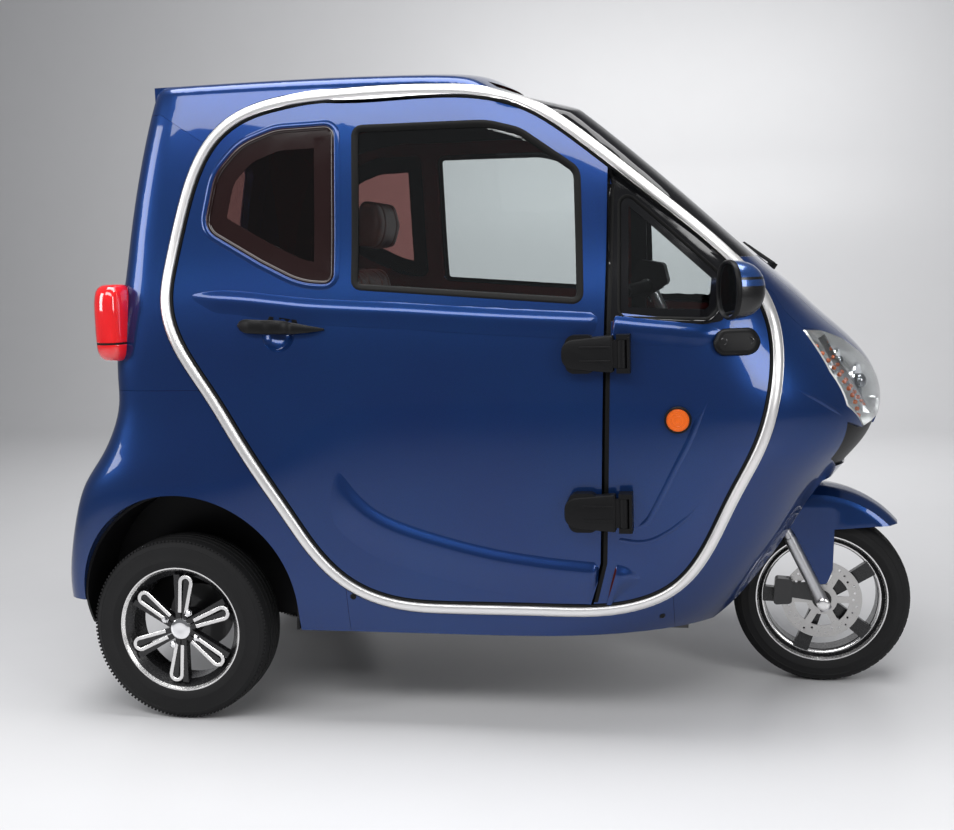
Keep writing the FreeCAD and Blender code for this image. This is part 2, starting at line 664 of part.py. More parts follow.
def make_front_gear():
    """Fork with stem, handlebar, fender and caliper: all that turns with the steering."""
    fork_foot = Vector(wheelbase, 0, front_tyre_r)
    leg_top = fork_foot + axis_dir * ((crown_z - front_tyre_r) / math.cos(rake))
    solids = []
    for side in (-1, 1):
        shift = Vector(0, side * fork_leg_y, 0)
        upper = rod(fork_foot + axis_dir * 150 + shift, leg_top + shift, fork_tube_r)
        lower = rod(fork_foot - axis_dir * 22 + shift, fork_foot + axis_dir * slider_length + shift, fork_leg_r)
        solids.append(upper.fuse(lower))
    crown_mid = steer_point(crown_z - 14)
    plate = box(-32, 52, -fork_leg_y - 20, fork_leg_y + 20, -13, 13)
    plate.Placement = Placement(crown_mid, Rotation(Vector(0, 1, 0), -rake_deg))
    stem = rod(crown_mid, steer_point(bar_z), stem_r)
    fork = plate.fuse(solids).fuse(stem)
    fork = fork.fuse(cross_rod(wheelbase, front_tyre_r, -fork_leg_y - 24, fork_leg_y + 24, front_axle_r))

    hub_top = steer_point(bar_z)
    clamp = Part.makeBox(60, 60, 40, Vector(-30, -30, 0.3))
    clamp.Placement = Placement(hub_top, Rotation(Vector(0, 1, 0), -rake_deg))
    bar = rod(hub_top + Vector(-12, 0, 22), hub_top + Vector(-12, 130, 22), 11)
    grip = rod(hub_top + Vector(-12, 126, 22), hub_top + Vector(-62, bar_half, 12), 15)
    bars = bar.fuse(grip)
    bars = bars.fuse(mirrored(bars))
    pod = side_block(((-64, 30), (-40, 96), (30, 82), (44, 24), (0, 8)), -88, 88, 14)
    pod.translate(hub_top)
    handlebar = clamp.fuse(bars).fuse(pod).cut(rod(steer_point(bar_z - 60), hub_top + axis_dir * 0.3, 20))

    centre = Vector(wheelbase + fender_x, 0, front_tyre_r + fender_z)
    half = front_tyre_w / 2.0 + 26
    outline = [(fender_r - 135, -half), (fender_r - 30, -half), (fender_r - 14, -half + 6), (fender_r + 4, -half + 36),
               (fender_r + 9, 0)]
    outer = outline + [(r, -y) for r, y in reversed(outline[:-1])]
    inner = [(r - fender_t - 1, y * (half - fender_t) / half) for r, y in reversed(outer)]
    inner[0] = (outer[-1][0], inner[0][1])
    inner[-1] = (outer[0][0], inner[-1][1])
    face = Part.Face(closed_wire([Vector(0, y, r) for r, y in outer + inner]))
    fender = face.revolve(Vector(0, 0, 0), Vector(0, 1, 0), 100)
    fender.rotate(Vector(0, 0, 0), Vector(0, 1, 0), -42)
    fender.translate(centre)
    fender = fender.cut(side_block(((1300, 0), (2100, 0), (2100, 462), (1830, 452), (1640, 436), (1300, 470)),
                                   -200, 200))
    stay = side_block(((1580, 500), (1722, 500), (1716, 330), (1700, 290), (1645, 290), (1655, 345)), -half,
                      -half + fender_t, 12)
    fender = fender.fuse(pair(stay))
    shift = Vector(0, -fork_leg_y, 0)
    slider_end = fork_foot + axis_dir * slider_length
    slider_hole = rod(fork_foot - axis_dir * 60 + shift, slider_end + shift, fork_leg_r + seat_gap)
    tube_hole = rod(slider_end + shift, leg_top + axis_dir * 100 + shift, fork_tube_r + seat_gap)
    fender = keep_largest(fender.cut(pair(slider_hole.fuse(tube_hole))))
    return fork, handlebar, fender


def make_brake():
    """The brake disc on the front wheel and the caliper on the right fork leg."""
    disc = cross_rod(wheelbase, front_tyre_r, -disc_y - disc_t / 2, -disc_y + disc_t / 2, disc_r)
    disc = disc.cut(cross_rod(wheelbase, front_tyre_r, -disc_y - 20, -disc_y + 20, 34))
    inner = cross_rod(wheelbase, front_tyre_r, -disc_y - disc_t, -disc_y + disc_t, 74)
    ring = disc.cut(inner)
    for n in range(6):
        arm = box(30, 80, -disc_y - disc_t / 2, -disc_y + disc_t / 2, -9, 9)
        arm.rotate(Vector(0, 0, 0), Vector(0, 1, 0), 60 * n)
        arm.translate(Vector(wheelbase, 0, front_tyre_r))
        ring = ring.fuse(arm)
    carrier = cross_rod(wheelbase, front_tyre_r, -disc_y - disc_t / 2, -disc_y + disc_t / 2, 42)
    ring = ring.fuse(carrier).cut(cross_rod(wheelbase, front_tyre_r, -200, 200, 26))
    for n in range(30):
        angle = math.radians(12 * n)
        r = 85 + 5 * (n % 3)
        ring = ring.cut(cross_rod(wheelbase + r * math.cos(angle), front_tyre_r + r * math.sin(angle),
                                  -disc_y - 10, -disc_y + 10, 3.2))

    cal_x = wheelbase - 106
    cal_z = front_tyre_r + 26
    body = side_block(((cal_x - 26, cal_z - 38), (cal_x + 24, cal_z - 34), (cal_x + 28, cal_z + 34),
                       (cal_x - 20, cal_z + 38)), -disc_y - 26, -disc_y + 12, 10)
    slot = cross_rod(wheelbase, front_tyre_r, -disc_y - 5.5, -disc_y + 5.5, disc_r + 6)
    bracket = side_block(((cal_x, cal_z - 16), (wheelbase - 4, front_tyre_r - 4), (wheelbase - 12, front_tyre_r + 52),
                          (cal_x, cal_z + 20)), -disc_y - 12.5, -disc_y - 7, 0)
    caliper = body.cut(slot).fuse(bracket)
    caliper = keep_largest(caliper.cut(cross_rod(wheelbase, front_tyre_r, -200, 200, 14)))
    return ring, caliper


def make_chassis():
    """Two rails with a kick up over the axle, cross members and the neck of the fork."""
    half = rail_w / 2.0
    rail_top = sill_z
    rail = box(low_rail_x0, low_rail_x1, rail_y - half, rail_y + half, rail_top - rail_w, rail_top)
    rail = rail.fuse(box(low_rail_x0, low_rail_x0 + rail_w, rail_y - half, rail_y + half, rail_top - rail_w,
                         high_rail_z + rail_w))
    rail = rail.fuse(box(-300, low_rail_x0 + rail_w, rail_y - half, rail_y + half, high_rail_z, high_rail_z + rail_w))
    frame = rail.fuse(mirrored(rail))
    for x in (low_rail_x0, 640, 980, low_rail_x1 - rail_w):
        frame = frame.fuse(box(x, x + rail_w, -rail_y, rail_y, rail_top - rail_w, rail_top))
    for x in (-300, 20, low_rail_x0):
        frame = frame.fuse(box(x, x + rail_w, -rail_y, rail_y, high_rail_z, high_rail_z + rail_w))
    spine_x = 1396.0
    spine_r = 18.0
    frame = frame.fuse(box(low_rail_x1 - rail_w, spine_x, -30, 30, rail_top - rail_w, rail_top))
    frame = frame.fuse(rod(Vector(spine_x, 0, rail_top - rail_w), Vector(spine_x, 0, 690), spine_r))
    head = rod(steer_point(head_tube_z0), steer_point(head_tube_z1), head_tube_r)
    frame = frame.fuse(head)
    web = side_block(((spine_x, 630), (steer_point(640).x, 640), (steer_point(720).x, 715), (spine_x, 690)), -10, 10)
    frame = frame.fuse(web)
    return frame.cut(rod(steer_point(head_tube_z0 - 60), steer_point(head_tube_z1 + 80), stem_r + bearing_clearance))


def make_rear_axle():
    """Driven rear axle: tube, motor and final drive in the middle, brake backs and spindles."""
    tube_end = rear_wheel_y - 82
    axle = cross_rod(0, rear_tyre_r, -tube_end, tube_end, axle_tube_r)
    axle = axle.fuse(cross_rod(0, rear_tyre_r, -rear_wheel_y - 44, rear_wheel_y + 44, spindle_r))
    axle = axle.fuse(cross_rod(0, rear_tyre_r, -62, 62, 88))
    axle = axle.fuse(cross_rod(0, rear_tyre_r, 62, 168, 66))
    for side in (-1, 1):
        y0 = side * (tube_end - 14)
        y1 = side * tube_end
        axle = axle.fuse(cross_rod(0, rear_tyre_r, min(y0, y1), max(y0, y1), drum_r))
    return axle


def make_springs():
    """Leaf springs hung under the high rails, clamped on the axle tube."""
    top = high_rail_z
    leaf = Part.Arc(Vector(-280, 0, top - 30), Vector(0, 0, top - 88), Vector(280, 0, top - 30))
    low = Part.Arc(Vector(-280, 0, top - 42), Vector(0, 0, top - 103), Vector(280, 0, top - 42))
    ends = [Part.LineSegment(Vector(280, 0, top - 30), Vector(280, 0, top - 42)).toShape(),
            Part.LineSegment(Vector(-280, 0, top - 42), Vector(-280, 0, top - 30)).toShape()]
    wire = Part.Wire([leaf.toShape(), ends[0], low.toShape(), ends[1]])
    springs = side_prism(wire, -rail_y - 25, -rail_y + 25)
    for x in (-275, 275):
        springs = springs.fuse(box(x - 12, x + 12, -rail_y - 18, -rail_y + 18, top - 44, top))
    axle_top = rear_tyre_r + axle_tube_r + seat_gap
    springs = springs.fuse(box(-45, 45, -rail_y - 30, -rail_y + 30, axle_top, top - 90))
    return pair(springs)


def make_floor():
    """The floor tray with its step up to the deck over the rear axle."""
    inside = plain_form(lip_depth + jamb_t + seat_gap)
    low = inside.common(box(low_rail_x0 + rail_w, well_x - 20, -700, 700, sill_z, sill_z + floor_t))
    riser = inside.common(box(low_rail_x0 + rail_w, low_rail_x0 + rail_w + floor_t, -700, 700, sill_z, deck_z))
    deck = inside.common(box(-600, low_rail_x0 + rail_w + floor_t, -700, 700, deck_z - floor_t, deck_z))
    bulkhead = inside.common(box(well_x - 20, well_x - 8, -700, 700, sill_z, shelf_z + floor_t))
    shelf = inside.common(box(well_x - 20, 1800, -well_half + seat_gap, well_half - seat_gap, shelf_z, shelf_z + floor_t))
    spine_hole = box(1370, 1505, -40, 40, shelf_z - 20, shelf_z + 60)
    post_zone = door_side(-15.0, True).common(door_side(35.0, False))
    post_zone = post_zone.cut(plain_form(lip_depth).translated(Vector(0, 3 * jamb_t + 1, 0)))
    tray = low.fuse(riser).fuse(deck).fuse(bulkhead).fuse(shelf.cut(spine_hole))
    tray = tray.cut(arch_cut(arch_r)).cut(pair(post_zone))
    return keep_largest(tray)


def make_liners():
    """The black inner arches over the rear wheels."""
    outer_r = arch_r - seat_gap
    right = cross_rod(arch_x, arch_z, -arch_inner_y - 170, -arch_inner_y - seat_gap, outer_r)
    right = right.cut(cross_rod(arch_x, arch_z, -760, -arch_inner_y - liner_t, outer_r - liner_t))
    right = right.common(box(-400, 500, -760, 0, sill_z, 700))
    right = right.cut(cross_rod(0, rear_tyre_r, -760, 0, 72))
    right = right.common(form(3.0))
    return pair(keep_largest(right))


def make_lights():
    """Tail lamps on the rear corners and round side markers."""
    zone = side_block(((-330, 972), (-104, 965), (-88, 1000), (-100, 1150), (-120, 1168), (-330, 1160)), -760, -430, 12)
    bulge = form(-34.0).translated(Vector(-26, 0, 0))
    tail = keep_largest(bulge.common(zone).cut(form(-seat_gap)))
    marker = on_skin(cross_rod(1319, 808, -571, -500, 28))
    return pair(tail), pair(marker)


def make_mirror():
    """The right door mirror on its pad and arm."""
    pad = on_skin(side_block(((1404, 958), (1500, 958), (1516, 985), (1490, 1012), (1420, 1016), (1400, 990)),
                             -556, -420, 18))
    arm = rod(Vector(1456, -540, 990), Vector(1474, -668, 1088), 11)
    rings = []
    for x, size in ((1428, 0.86), (1446, 0.97), (1472, 1.0), (1497, 0.92), (1516, 0.68), (1527, 0.33)):
        ring = Part.Ellipse(Vector(x, -676 - 92 * size, 1115), Vector(x, -676, 1115 + 68 * size),
                            Vector(x, -676, 1115))
        rings.append(Part.Wire([ring.toShape()]))
    head = Part.makeLoft(rings, True)
    head.rotate(Vector(1474, -676, 0), Vector(0, 0, 1), mirror_turn_deg)
    mirror = arm.fuse(head)
    mirror = mirror.cut(form(-seat_gap))
    return keep_largest(pad.fuse(mirror))


def make_cabin():
    """Seats, headrest, dashboard and the battery block."""
    battery = box(400, 760, -200, 200, sill_z + floor_t, 560)
    base = box(395, 860, -225, 225, 560 + seat_gap, 614)
    cushion = side_block(((400, 612), (880, 612), (900, 660), (880, 706), (470, 690), (420, 700)), -225, 225, 26)
    back = side_block(((372, 640), (470, 700), (452, 1000), (420, 1205), (330, 1205), (318, 1180)), -215, 215, 30)
    seat = base.fuse(cushion).fuse(back)
    posts = rod(Vector(385, -45, 1190), Vector(420, -45, 1260), 6).fuse(
        rod(Vector(385, 45, 1190), Vector(420, 45, 1260), 6))
    seat = seat.fuse(posts)
    rest = side_block(((386, 1240), (470, 1236), (492, 1310), (478, 1380), (420, 1392), (392, 1330)), -125, 125, 24)
    rest = rest.cut(rod(Vector(385, -45, 1190), Vector(420, -45, 1260), 6.3)).cut(
        rod(Vector(385, 45, 1190), Vector(420, 45, 1260), 6.3))

    bench = side_block(((-120, deck_z), (230, deck_z), (240, 690), (-100, 690)), -345, 345, 0)
    pad = side_block(((-110, 690), (236, 690), (250, 735), (220, 770), (-60, 752), (-90, 720)), -400, 400, 20)
    rear_back = side_block(((-110, 700), (-30, 740), (-60, 1120), (-120, 1120), (-155, 1080)), -380, 380, 20)
    rear_seat = bench.fuse(pad).fuse(rear_back).common(form(wall_t + 6))

    dash = side_block(((1420, 1040), (1440, 1075), (1600, 1060), (1620, 940), (1500, 900), (1430, 960)), -600, 600, 20)
    dash = dash.common(form(wall_t + seat_gap))
    dash = dash.cut(pair(loop_prism(0)))
    return battery, seat, rest, rear_seat, dash


def make_wiper():
    """The wiper arm and blade that lie along the foot of the windshield."""
    pivot = Vector(1560, -60, 1172)
    base = rod(pivot - Vector(30, 0, 46), pivot, 13)
    arm = rod(pivot - Vector(0, 0, 4), Vector(1478, -300, 1222), 5)
    blade = rod(Vector(1474, -160, 1214), Vector(1462, -400, 1222), 6)
    wiper = base.fuse(arm).fuse(blade)
    return keep_largest(wiper.cut(form(-seat_gap)))


def write(name, shape):
    """One STEP file for a piece, moved to the car's origin."""
    solids = shape.Solids
    result = solids[0] if len(solids) == 1 else Part.makeCompound(solids)
    result = result.copy()
    result.translate(Vector(rear_axle_x, 0, 0))
    result.exportStep("parts/%s.step" % name)
    volume = sum(solid.Volume for solid in solids)
    print("%-22s solids %d valid %s volume %.4f litres" % (name, len(solids), result.isValid(), volume / 1e6))


def main():
    os.makedirs("parts", exist_ok=True)
    pieces = make_shell_pieces()

    gate, gate_glass, gate_pins = make_tailgate()
    pieces["roof"] = keep_largest(pieces["roof"].fuse(make_spoiler()).fuse(gate_pins))
    pieces["tailgate"] = gate
    pieces["tailgate_glass"] = gate_glass

    strip, jamb, panel, pane = make_side_opening()
    pieces["door_trims"] = pair(strip)
    pieces["door_jambs"] = pair(jamb)
    pieces["side_panels"] = pair(panel)
    pieces["side_glass"] = pair(pane)
    pieces["hinge_posts"] = pair(make_hinge_posts())

    door, panes, handle, arms = make_door()
    for side in ("right", "left"):
        turn = mirrored if side == "left" else (lambda shape: shape)
        pieces["door_" + side] = turn(door)
        pieces["door_glass_" + side] = turn(panes)
        pieces["door_handle_" + side] = turn(handle)
        pieces["hinge_arms_" + side] = turn(arms)

    tail, marker = make_lights()
    pieces["tail_lamps"] = tail
    pieces["side_markers"] = marker
    pieces["mirrors"] = pair(make_mirror())
    pieces["wiper"] = make_wiper()
    pieces["floor_tray"] = make_floor()
    pieces["wheel_liners"] = make_liners()
    pieces["chassis_frame"] = make_chassis()
    pieces["rear_axle"] = make_rear_axle()
    pieces["leaf_springs"] = make_springs()

    battery, seat, rest, rear_seat, dash = make_cabin()
    pieces["battery_block"] = battery
    pieces["driver_seat"] = seat
    pieces["headrest"] = rest
    pieces["rear_seat"] = rear_seat
    pieces["dashboard"] = dash

    fork, handlebar, fender = make_front_gear()
    ring, caliper = make_brake()
    pieces["fork"] = fork
    pieces["handlebar"] = handlebar
    pieces["front_fender"] = fender
    pieces["brake_disc"] = ring
    pieces["brake_caliper"] = caliper

    front_at = Vector(wheelbase, 0, front_tyre_r)
    tyre = make_wheel(front_tyre_r, front_tyre_w, front_rim_r, front_rim_r - 22)
    boss = cross_rod(0, 0, -disc_y + disc_t / 2 + seat_gap, -30, 40)
    boss = boss.cut(cross_rod(0, 0, -200, 200, front_axle_r + bearing_clearance))
    rim = make_rim(front_rim_r, front_rim_r - 24, 52, -44, 5, False, front_axle_r + bearing_clearance, 30).fuse(boss)
    tyre = tyre.cut(make_rim_form(front_rim_r, front_rim_r - 24, 52))
    pieces["front_tyre"] = tyre.translated(front_at)
    pieces["front_rim"] = rim.translated(front_at)

    for side, sign in (("right", -1), ("left", 1)):
        at = Vector(0, sign * rear_wheel_y, rear_tyre_r)
        tyre = make_wheel(rear_tyre_r, rear_tyre_w, rear_rim_r, rear_rim_r - 22)
        tyre = tyre.cut(make_rim_form(rear_rim_r, rear_rim_r - 24, 58))
        rim = make_rim(rear_rim_r, rear_rim_r - 24, 58, -50, 6, True, spindle_r + bearing_clearance, 34)
        if sign > 0:
            tyre = mirrored(tyre)
            rim = mirrored(rim)
        pieces["rear_tyre_" + side] = tyre.translated(at)
        pieces["rear_rim_" + side] = rim.translated(at)

    for name, shape in pieces.items():
        write(name, shape)


def make_rim_form(outer_r, barrel_r, half):
    """The filled outline of a rim, which the tyre's inner side follows at a small gap."""
    gap = seat_gap
    outline = [
        (0, -half - 60), (outer_r + gap, -half - 60), (outer_r + gap, -half + 8 + gap), (barrel_r + gap, -half + 22 + gap),
        (barrel_r + gap, half - 22 - gap), (outer_r - 2 + gap, half - 8 - gap), (outer_r - 2 + gap, half + 60),
        (0, half + 60),
    ]
    return Part.Face(closed_wire([Vector(0, y, r) for r, y in outline])).revolve(
        Vector(0, 0, 0), Vector(0, 1, 0), 360)


main()
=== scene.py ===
# %% [markdown]
# # Three wheeled car
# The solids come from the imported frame, in metres, with X forward, Y to the left and Z up.
# This lesson dresses them: it paints every solid, lays rubber, glass bands and small fittings
# over them, and sets the studio. Each step says what the real piece is and how it is made here.

# %% Frame
import math

import bmesh
import bpy
import numpy as np
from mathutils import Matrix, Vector
from mathutils.bvhtree import BVHTree


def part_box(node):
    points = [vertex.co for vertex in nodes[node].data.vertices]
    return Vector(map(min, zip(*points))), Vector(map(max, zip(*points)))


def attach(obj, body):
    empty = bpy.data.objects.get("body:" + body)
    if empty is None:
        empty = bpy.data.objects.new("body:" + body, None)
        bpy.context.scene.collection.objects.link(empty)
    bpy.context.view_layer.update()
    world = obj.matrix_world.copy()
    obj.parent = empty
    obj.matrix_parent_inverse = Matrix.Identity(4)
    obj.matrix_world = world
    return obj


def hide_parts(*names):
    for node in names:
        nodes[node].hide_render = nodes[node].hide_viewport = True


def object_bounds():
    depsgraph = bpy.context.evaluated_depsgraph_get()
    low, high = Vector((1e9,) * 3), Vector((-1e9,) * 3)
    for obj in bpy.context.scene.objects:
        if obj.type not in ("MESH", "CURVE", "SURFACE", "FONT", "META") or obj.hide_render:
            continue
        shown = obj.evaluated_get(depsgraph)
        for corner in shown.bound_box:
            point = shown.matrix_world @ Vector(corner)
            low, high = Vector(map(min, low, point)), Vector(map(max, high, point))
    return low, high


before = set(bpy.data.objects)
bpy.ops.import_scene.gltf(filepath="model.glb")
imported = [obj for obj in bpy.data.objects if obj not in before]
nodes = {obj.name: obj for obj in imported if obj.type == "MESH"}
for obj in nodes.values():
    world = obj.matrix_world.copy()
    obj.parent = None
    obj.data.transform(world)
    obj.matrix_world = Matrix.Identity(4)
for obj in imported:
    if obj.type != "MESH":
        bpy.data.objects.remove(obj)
cad_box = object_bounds()

# %% [markdown]
# Places are read from the frame, so that they follow the solids: the wheel centres come from
# the tyres' boxes. Side view places in this lesson are written in millimetres from the rear
# axle and the ground, as they would be measured on the car with a tape.

# %% Places
MM = 0.001


def centre_of(node):
    low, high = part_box(node)
    return (low + high) / 2.0


front_hub = centre_of("front_tyre")
rear_hub = {"right": centre_of("rear_tyre_right"), "left": centre_of("rear_tyre_left")}
rear_x = rear_hub["right"].x
SIDES = {"right": -1.0, "left": 1.0}
print("rear axle at", round(rear_x, 4), "front axle at", round(front_hub.x, 4))

# %% [markdown]
# ## Shader groups
# Three effects are shared. *Grain* turns a noise into a small change of roughness and a bump,
# *drift* lets a colour wander between two close shades, and *inner side* finds the faces of a
# shell that look in towards the cabin, because a painted panel has a lining on its other side.

# %% Group helper


def new_group(name, inputs, outputs):
    group = bpy.data.node_groups.new(name, "ShaderNodeTree")
    for label, kind, value in inputs:
        socket = group.interface.new_socket(name=label, in_out="INPUT", socket_type=kind)
        if value is not None:
            socket.default_value = value
    for label, kind in outputs:
        group.interface.new_socket(name=label, in_out="OUTPUT", socket_type=kind)
    return group, group.nodes.new("NodeGroupInput"), group.nodes.new("NodeGroupOutput")


def math_node(tree, operation, first, second=None):
    node = tree.nodes.new("ShaderNodeMath")
    node.operation = operation
    for slot_index, value in enumerate((first, second)):
        if value is None:
            continue
        if isinstance(value, (int, float)):
            node.inputs[slot_index].default_value = value
        else:
            tree.links.new(value, node.inputs[slot_index])
    return node.outputs[0]


# %% Grain group
grain, grain_in, grain_out = new_group(
    "surface grain",
    [("Vector", "NodeSocketVector", None), ("Scale", "NodeSocketFloat", 300.0), ("Depth", "NodeSocketFloat",
            0.0002),
     ("Smoothest", "NodeSocketFloat", 0.3), ("Roughest", "NodeSocketFloat", 0.5)],
    [("Roughness", "NodeSocketFloat"), ("Normal", "NodeSocketVector")])
noise = grain.nodes.new("ShaderNodeTexNoise")
noise.inputs["Detail"].default_value = 3.0
spread = grain.nodes.new("ShaderNodeMapRange")
bump = grain.nodes.new("ShaderNodeBump")
grain.links.new(grain_in.outputs["Vector"], noise.inputs["Vector"])
grain.links.new(grain_in.outputs["Scale"], noise.inputs["Scale"])
grain.links.new(noise.outputs["Fac"], spread.inputs["Value"])
grain.links.new(grain_in.outputs["Smoothest"], spread.inputs["To Min"])
grain.links.new(grain_in.outputs["Roughest"], spread.inputs["To Max"])
grain.links.new(noise.outputs["Fac"], bump.inputs["Height"])
grain.links.new(grain_in.outputs["Depth"], bump.inputs["Distance"])
grain.links.new(spread.outputs["Result"], grain_out.inputs["Roughness"])
grain.links.new(bump.outputs["Normal"], grain_out.inputs["Normal"])

# %% Drift group
drift, drift_in, drift_out = new_group(
    "colour drift",
    [("Vector", "NodeSocketVector", None), ("Scale", "NodeSocketFloat", 4.0),
     ("First", "NodeSocketColor", (0.5, 0.5, 0.5, 1.0)), ("Second", "NodeSocketColor",
                                                          (0.5, 0.5, 0.5, 1.0))],
    [("Color", "NodeSocketColor")])
noise = drift.nodes.new("ShaderNodeTexNoise")
noise.inputs["Detail"].default_value = 4.0
blend = drift.nodes.new("ShaderNodeMix")
blend.data_type = "RGBA"
drift.links.new(drift_in.outputs["Vector"], noise.inputs["Vector"])
drift.links.new(drift_in.outputs["Scale"], noise.inputs["Scale"])
drift.links.new(noise.outputs["Fac"], blend.inputs[0])
drift.links.new(drift_in.outputs["First"], blend.inputs[6])
drift.links.new(drift_in.outputs["Second"], blend.inputs[7])
drift.links.new(blend.outputs[2], drift_out.inputs["Color"])

# %% Inner side group
inner, inner_in, inner_out = new_group(
    "inner side", [("Position", "NodeSocketVector", None), ("Normal", "NodeSocketVector", None)],
    [("Mask", "NodeSocketFloat")])
cabin_middle = Vector((rear_x + 0.62, 0.0, 0.95))
outward = inner.nodes.new("ShaderNodeVectorMath")
outward.operation = "SUBTRACT"
outward.inputs[1].default_value = cabin_middle
facing = inner.nodes.new("ShaderNodeVectorMath")
facing.operation = "DOT_PRODUCT"
inner.links.new(inner_in.outputs["Position"], outward.inputs[0])
inner.links.new(outward.outputs["Vector"], facing.inputs[0])
inner.links.new(inner_in.outputs["Normal"], facing.inputs[1])
turned_in = math_node(inner, "LESS_THAN", facing.outputs["Value"], -0.05)
parts = inner.nodes.new("ShaderNodeSeparateXYZ")
inner.links.new(inner_in.outputs["Position"], parts.inputs[0])
behind_nose = math_node(inner, "LESS_THAN", parts.outputs["X"], rear_x + 1.57)
before_gate = math_node(inner, "GREATER_THAN", parts.outputs["X"], rear_x - 0.03)
above_sill = math_node(inner, "GREATER_THAN", parts.outputs["Z"], 0.30)
in_cabin = math_node(inner, "MULTIPLY", math_node(inner, "MULTIPLY", behind_nose, before_gate), above_sill)
inner.links.new(math_node(inner, "MULTIPLY", turned_in, in_cabin), inner_out.inputs["Mask"])

# %% [markdown]
# ## Materials
# Every finish starts from one helper: a Principled shader with Object coordinates, so that the
# pattern stays on the piece when it moves. Numbers that are the same all over a finish are set
# on the shader's own sockets; only what changes over the surface arrives through nodes.

# %% Material helper


def new_finish(name, colour, second=None, metallic=0.0, rough=(0.3, 0.5), grain_scale=300.0, depth=0.0002,
               drift_scale=4.0, **fixed):
    material = bpy.data.materials.new(name)
    material.use_nodes = True
    tree = material.node_tree
    shader = tree.nodes["Principled BSDF"]
    coords = tree.nodes.new("ShaderNodeTexCoord")
    texture = tree.nodes.new("ShaderNodeGroup")
    texture.node_tree = grain
    texture.inputs["Scale"].default_value = grain_scale
    texture.inputs["Depth"].default_value = depth
    texture.inputs["Smoothest"].default_value = rough[0]
    texture.inputs["Roughest"].default_value = rough[1]
    shade = tree.nodes.new("ShaderNodeGroup")
    shade.node_tree = drift
    shade.inputs["Scale"].default_value = drift_scale
    shade.inputs["First"].default_value = (*colour, 1.0)
    shade.inputs["Second"].default_value = (*(second or [0.82 * part for part in colour]), 1.0)
    tree.links.new(coords.outputs["Object"], texture.inputs["Vector"])
    tree.links.new(coords.outputs["Object"], shade.inputs["Vector"])
    tree.links.new(shade.outputs["Color"], shader.inputs["Base Color"])
    tree.links.new(texture.outputs["Roughness"], shader.inputs["Roughness"])
    tree.links.new(texture.outputs["Normal"], shader.inputs["Normal"])
    shader.inputs["Metallic"].default_value = metallic
    for socket, value in fixed.items():
        shader.inputs[socket.replace("_", " ")].default_value = value
    return material


# %% Plain finishes
black_plastic = new_finish("black grained plastic", (0.006, 0.006, 0.0065), rough=(0.34, 0.52),
                           grain_scale=900.0,
                           depth=0.00012, Specular_IOR_Level=0.16)
deep_rubber = new_finish("window rubber", (0.003, 0.003, 0.003), rough=(0.42, 0.6), grain_scale=500.0,
                         Specular_IOR_Level=0.15)
quarter_print = new_finish("quarter window print", (0.012, 0.004, 0.004), rough=(0.08, 0.16),
                           grain_scale=30.0,
                           depth=0.00002)
gloss_black = new_finish("gloss black", (0.006, 0.006, 0.007), rough=(0.06, 0.12), grain_scale=30.0,
                         depth=0.00002)
seal_rubber = new_finish("seal rubber", (0.004, 0.004, 0.004), rough=(0.5, 0.7), grain_scale=500.0,
                         Specular_IOR_Level=0.2)
tyre_rubber = new_finish("tyre rubber", (0.007, 0.007, 0.0075), (0.011, 0.011, 0.0115), rough=(0.55, 0.8),
                         grain_scale=420.0, drift_scale=9.0, Specular_IOR_Level=0.22)
pale_plastic = new_finish("pale plastic", (0.50, 0.50, 0.49), rough=(0.4, 0.55), grain_scale=700.0,
                          depth=0.0001)
dark_plastic = new_finish("dark cabin plastic", (0.022, 0.022, 0.024), rough=(0.45, 0.6), grain_scale=600.0)
black_steel = new_finish("black painted steel", (0.012, 0.012, 0.013), rough=(0.28, 0.45), grain_scale=160.0,
                         Coat_Weight=0.3)
fork_silver = new_finish("fork silver", (0.62, 0.62, 0.64), metallic=1.0, rough=(0.26, 0.36),
                         grain_scale=240.0,
                         depth=0.00005)
trim_silver = new_finish("satin trim", (0.80, 0.79, 0.78), (0.72, 0.71, 0.71), metallic=0.85, rough=(0.34,
        0.42),
                         grain_scale=400.0, depth=0.00003)
chrome = new_finish("chrome", (0.86, 0.86, 0.87), (0.80, 0.80, 0.82), metallic=1.0, rough=(0.04, 0.09),
                    grain_scale=60.0, depth=0.00002)
machined = new_finish("machined alloy", (0.83, 0.82, 0.81), (0.74, 0.73, 0.73), metallic=1.0, rough=(0.18,
        0.3),
                      grain_scale=700.0, depth=0.00003)
disc_steel = new_finish("disc steel", (0.55, 0.54, 0.53), metallic=1.0, rough=(0.22, 0.38),
                        grain_scale=350.0,
                        depth=0.00004)
leather = new_finish("seat leather", (0.105, 0.022, 0.014), (0.07, 0.013, 0.009), rough=(0.36, 0.55),
                     grain_scale=520.0, depth=0.0005, drift_scale=14.0)
lamp_red = new_finish("tail lamp red", (0.80, 0.016, 0.018), (0.60, 0.006, 0.010), rough=(0.05, 0.1),
                      grain_scale=40.0, depth=0.00002, drift_scale=22.0, Coat_Weight=1.0,
                      Subsurface_Weight=0.1)
lamp_amber = new_finish("amber lamp", (0.80, 0.15, 0.010), (0.70, 0.11, 0.007), rough=(0.08, 0.14),
                        grain_scale=60.0, depth=0.00004, Coat_Weight=1.0)
lamp_silver = new_finish("lamp reflector", (0.84, 0.84, 0.83), (0.70, 0.70, 0.69), metallic=0.5, rough=(0.12,
        0.3),
                         grain_scale=35.0, depth=0.0002, drift_scale=18.0)
film = new_finish("mirror glass", (0.30, 0.31, 0.33), metallic=1.0, rough=(0.02, 0.05), grain_scale=20.0,
                  depth=0.00001)

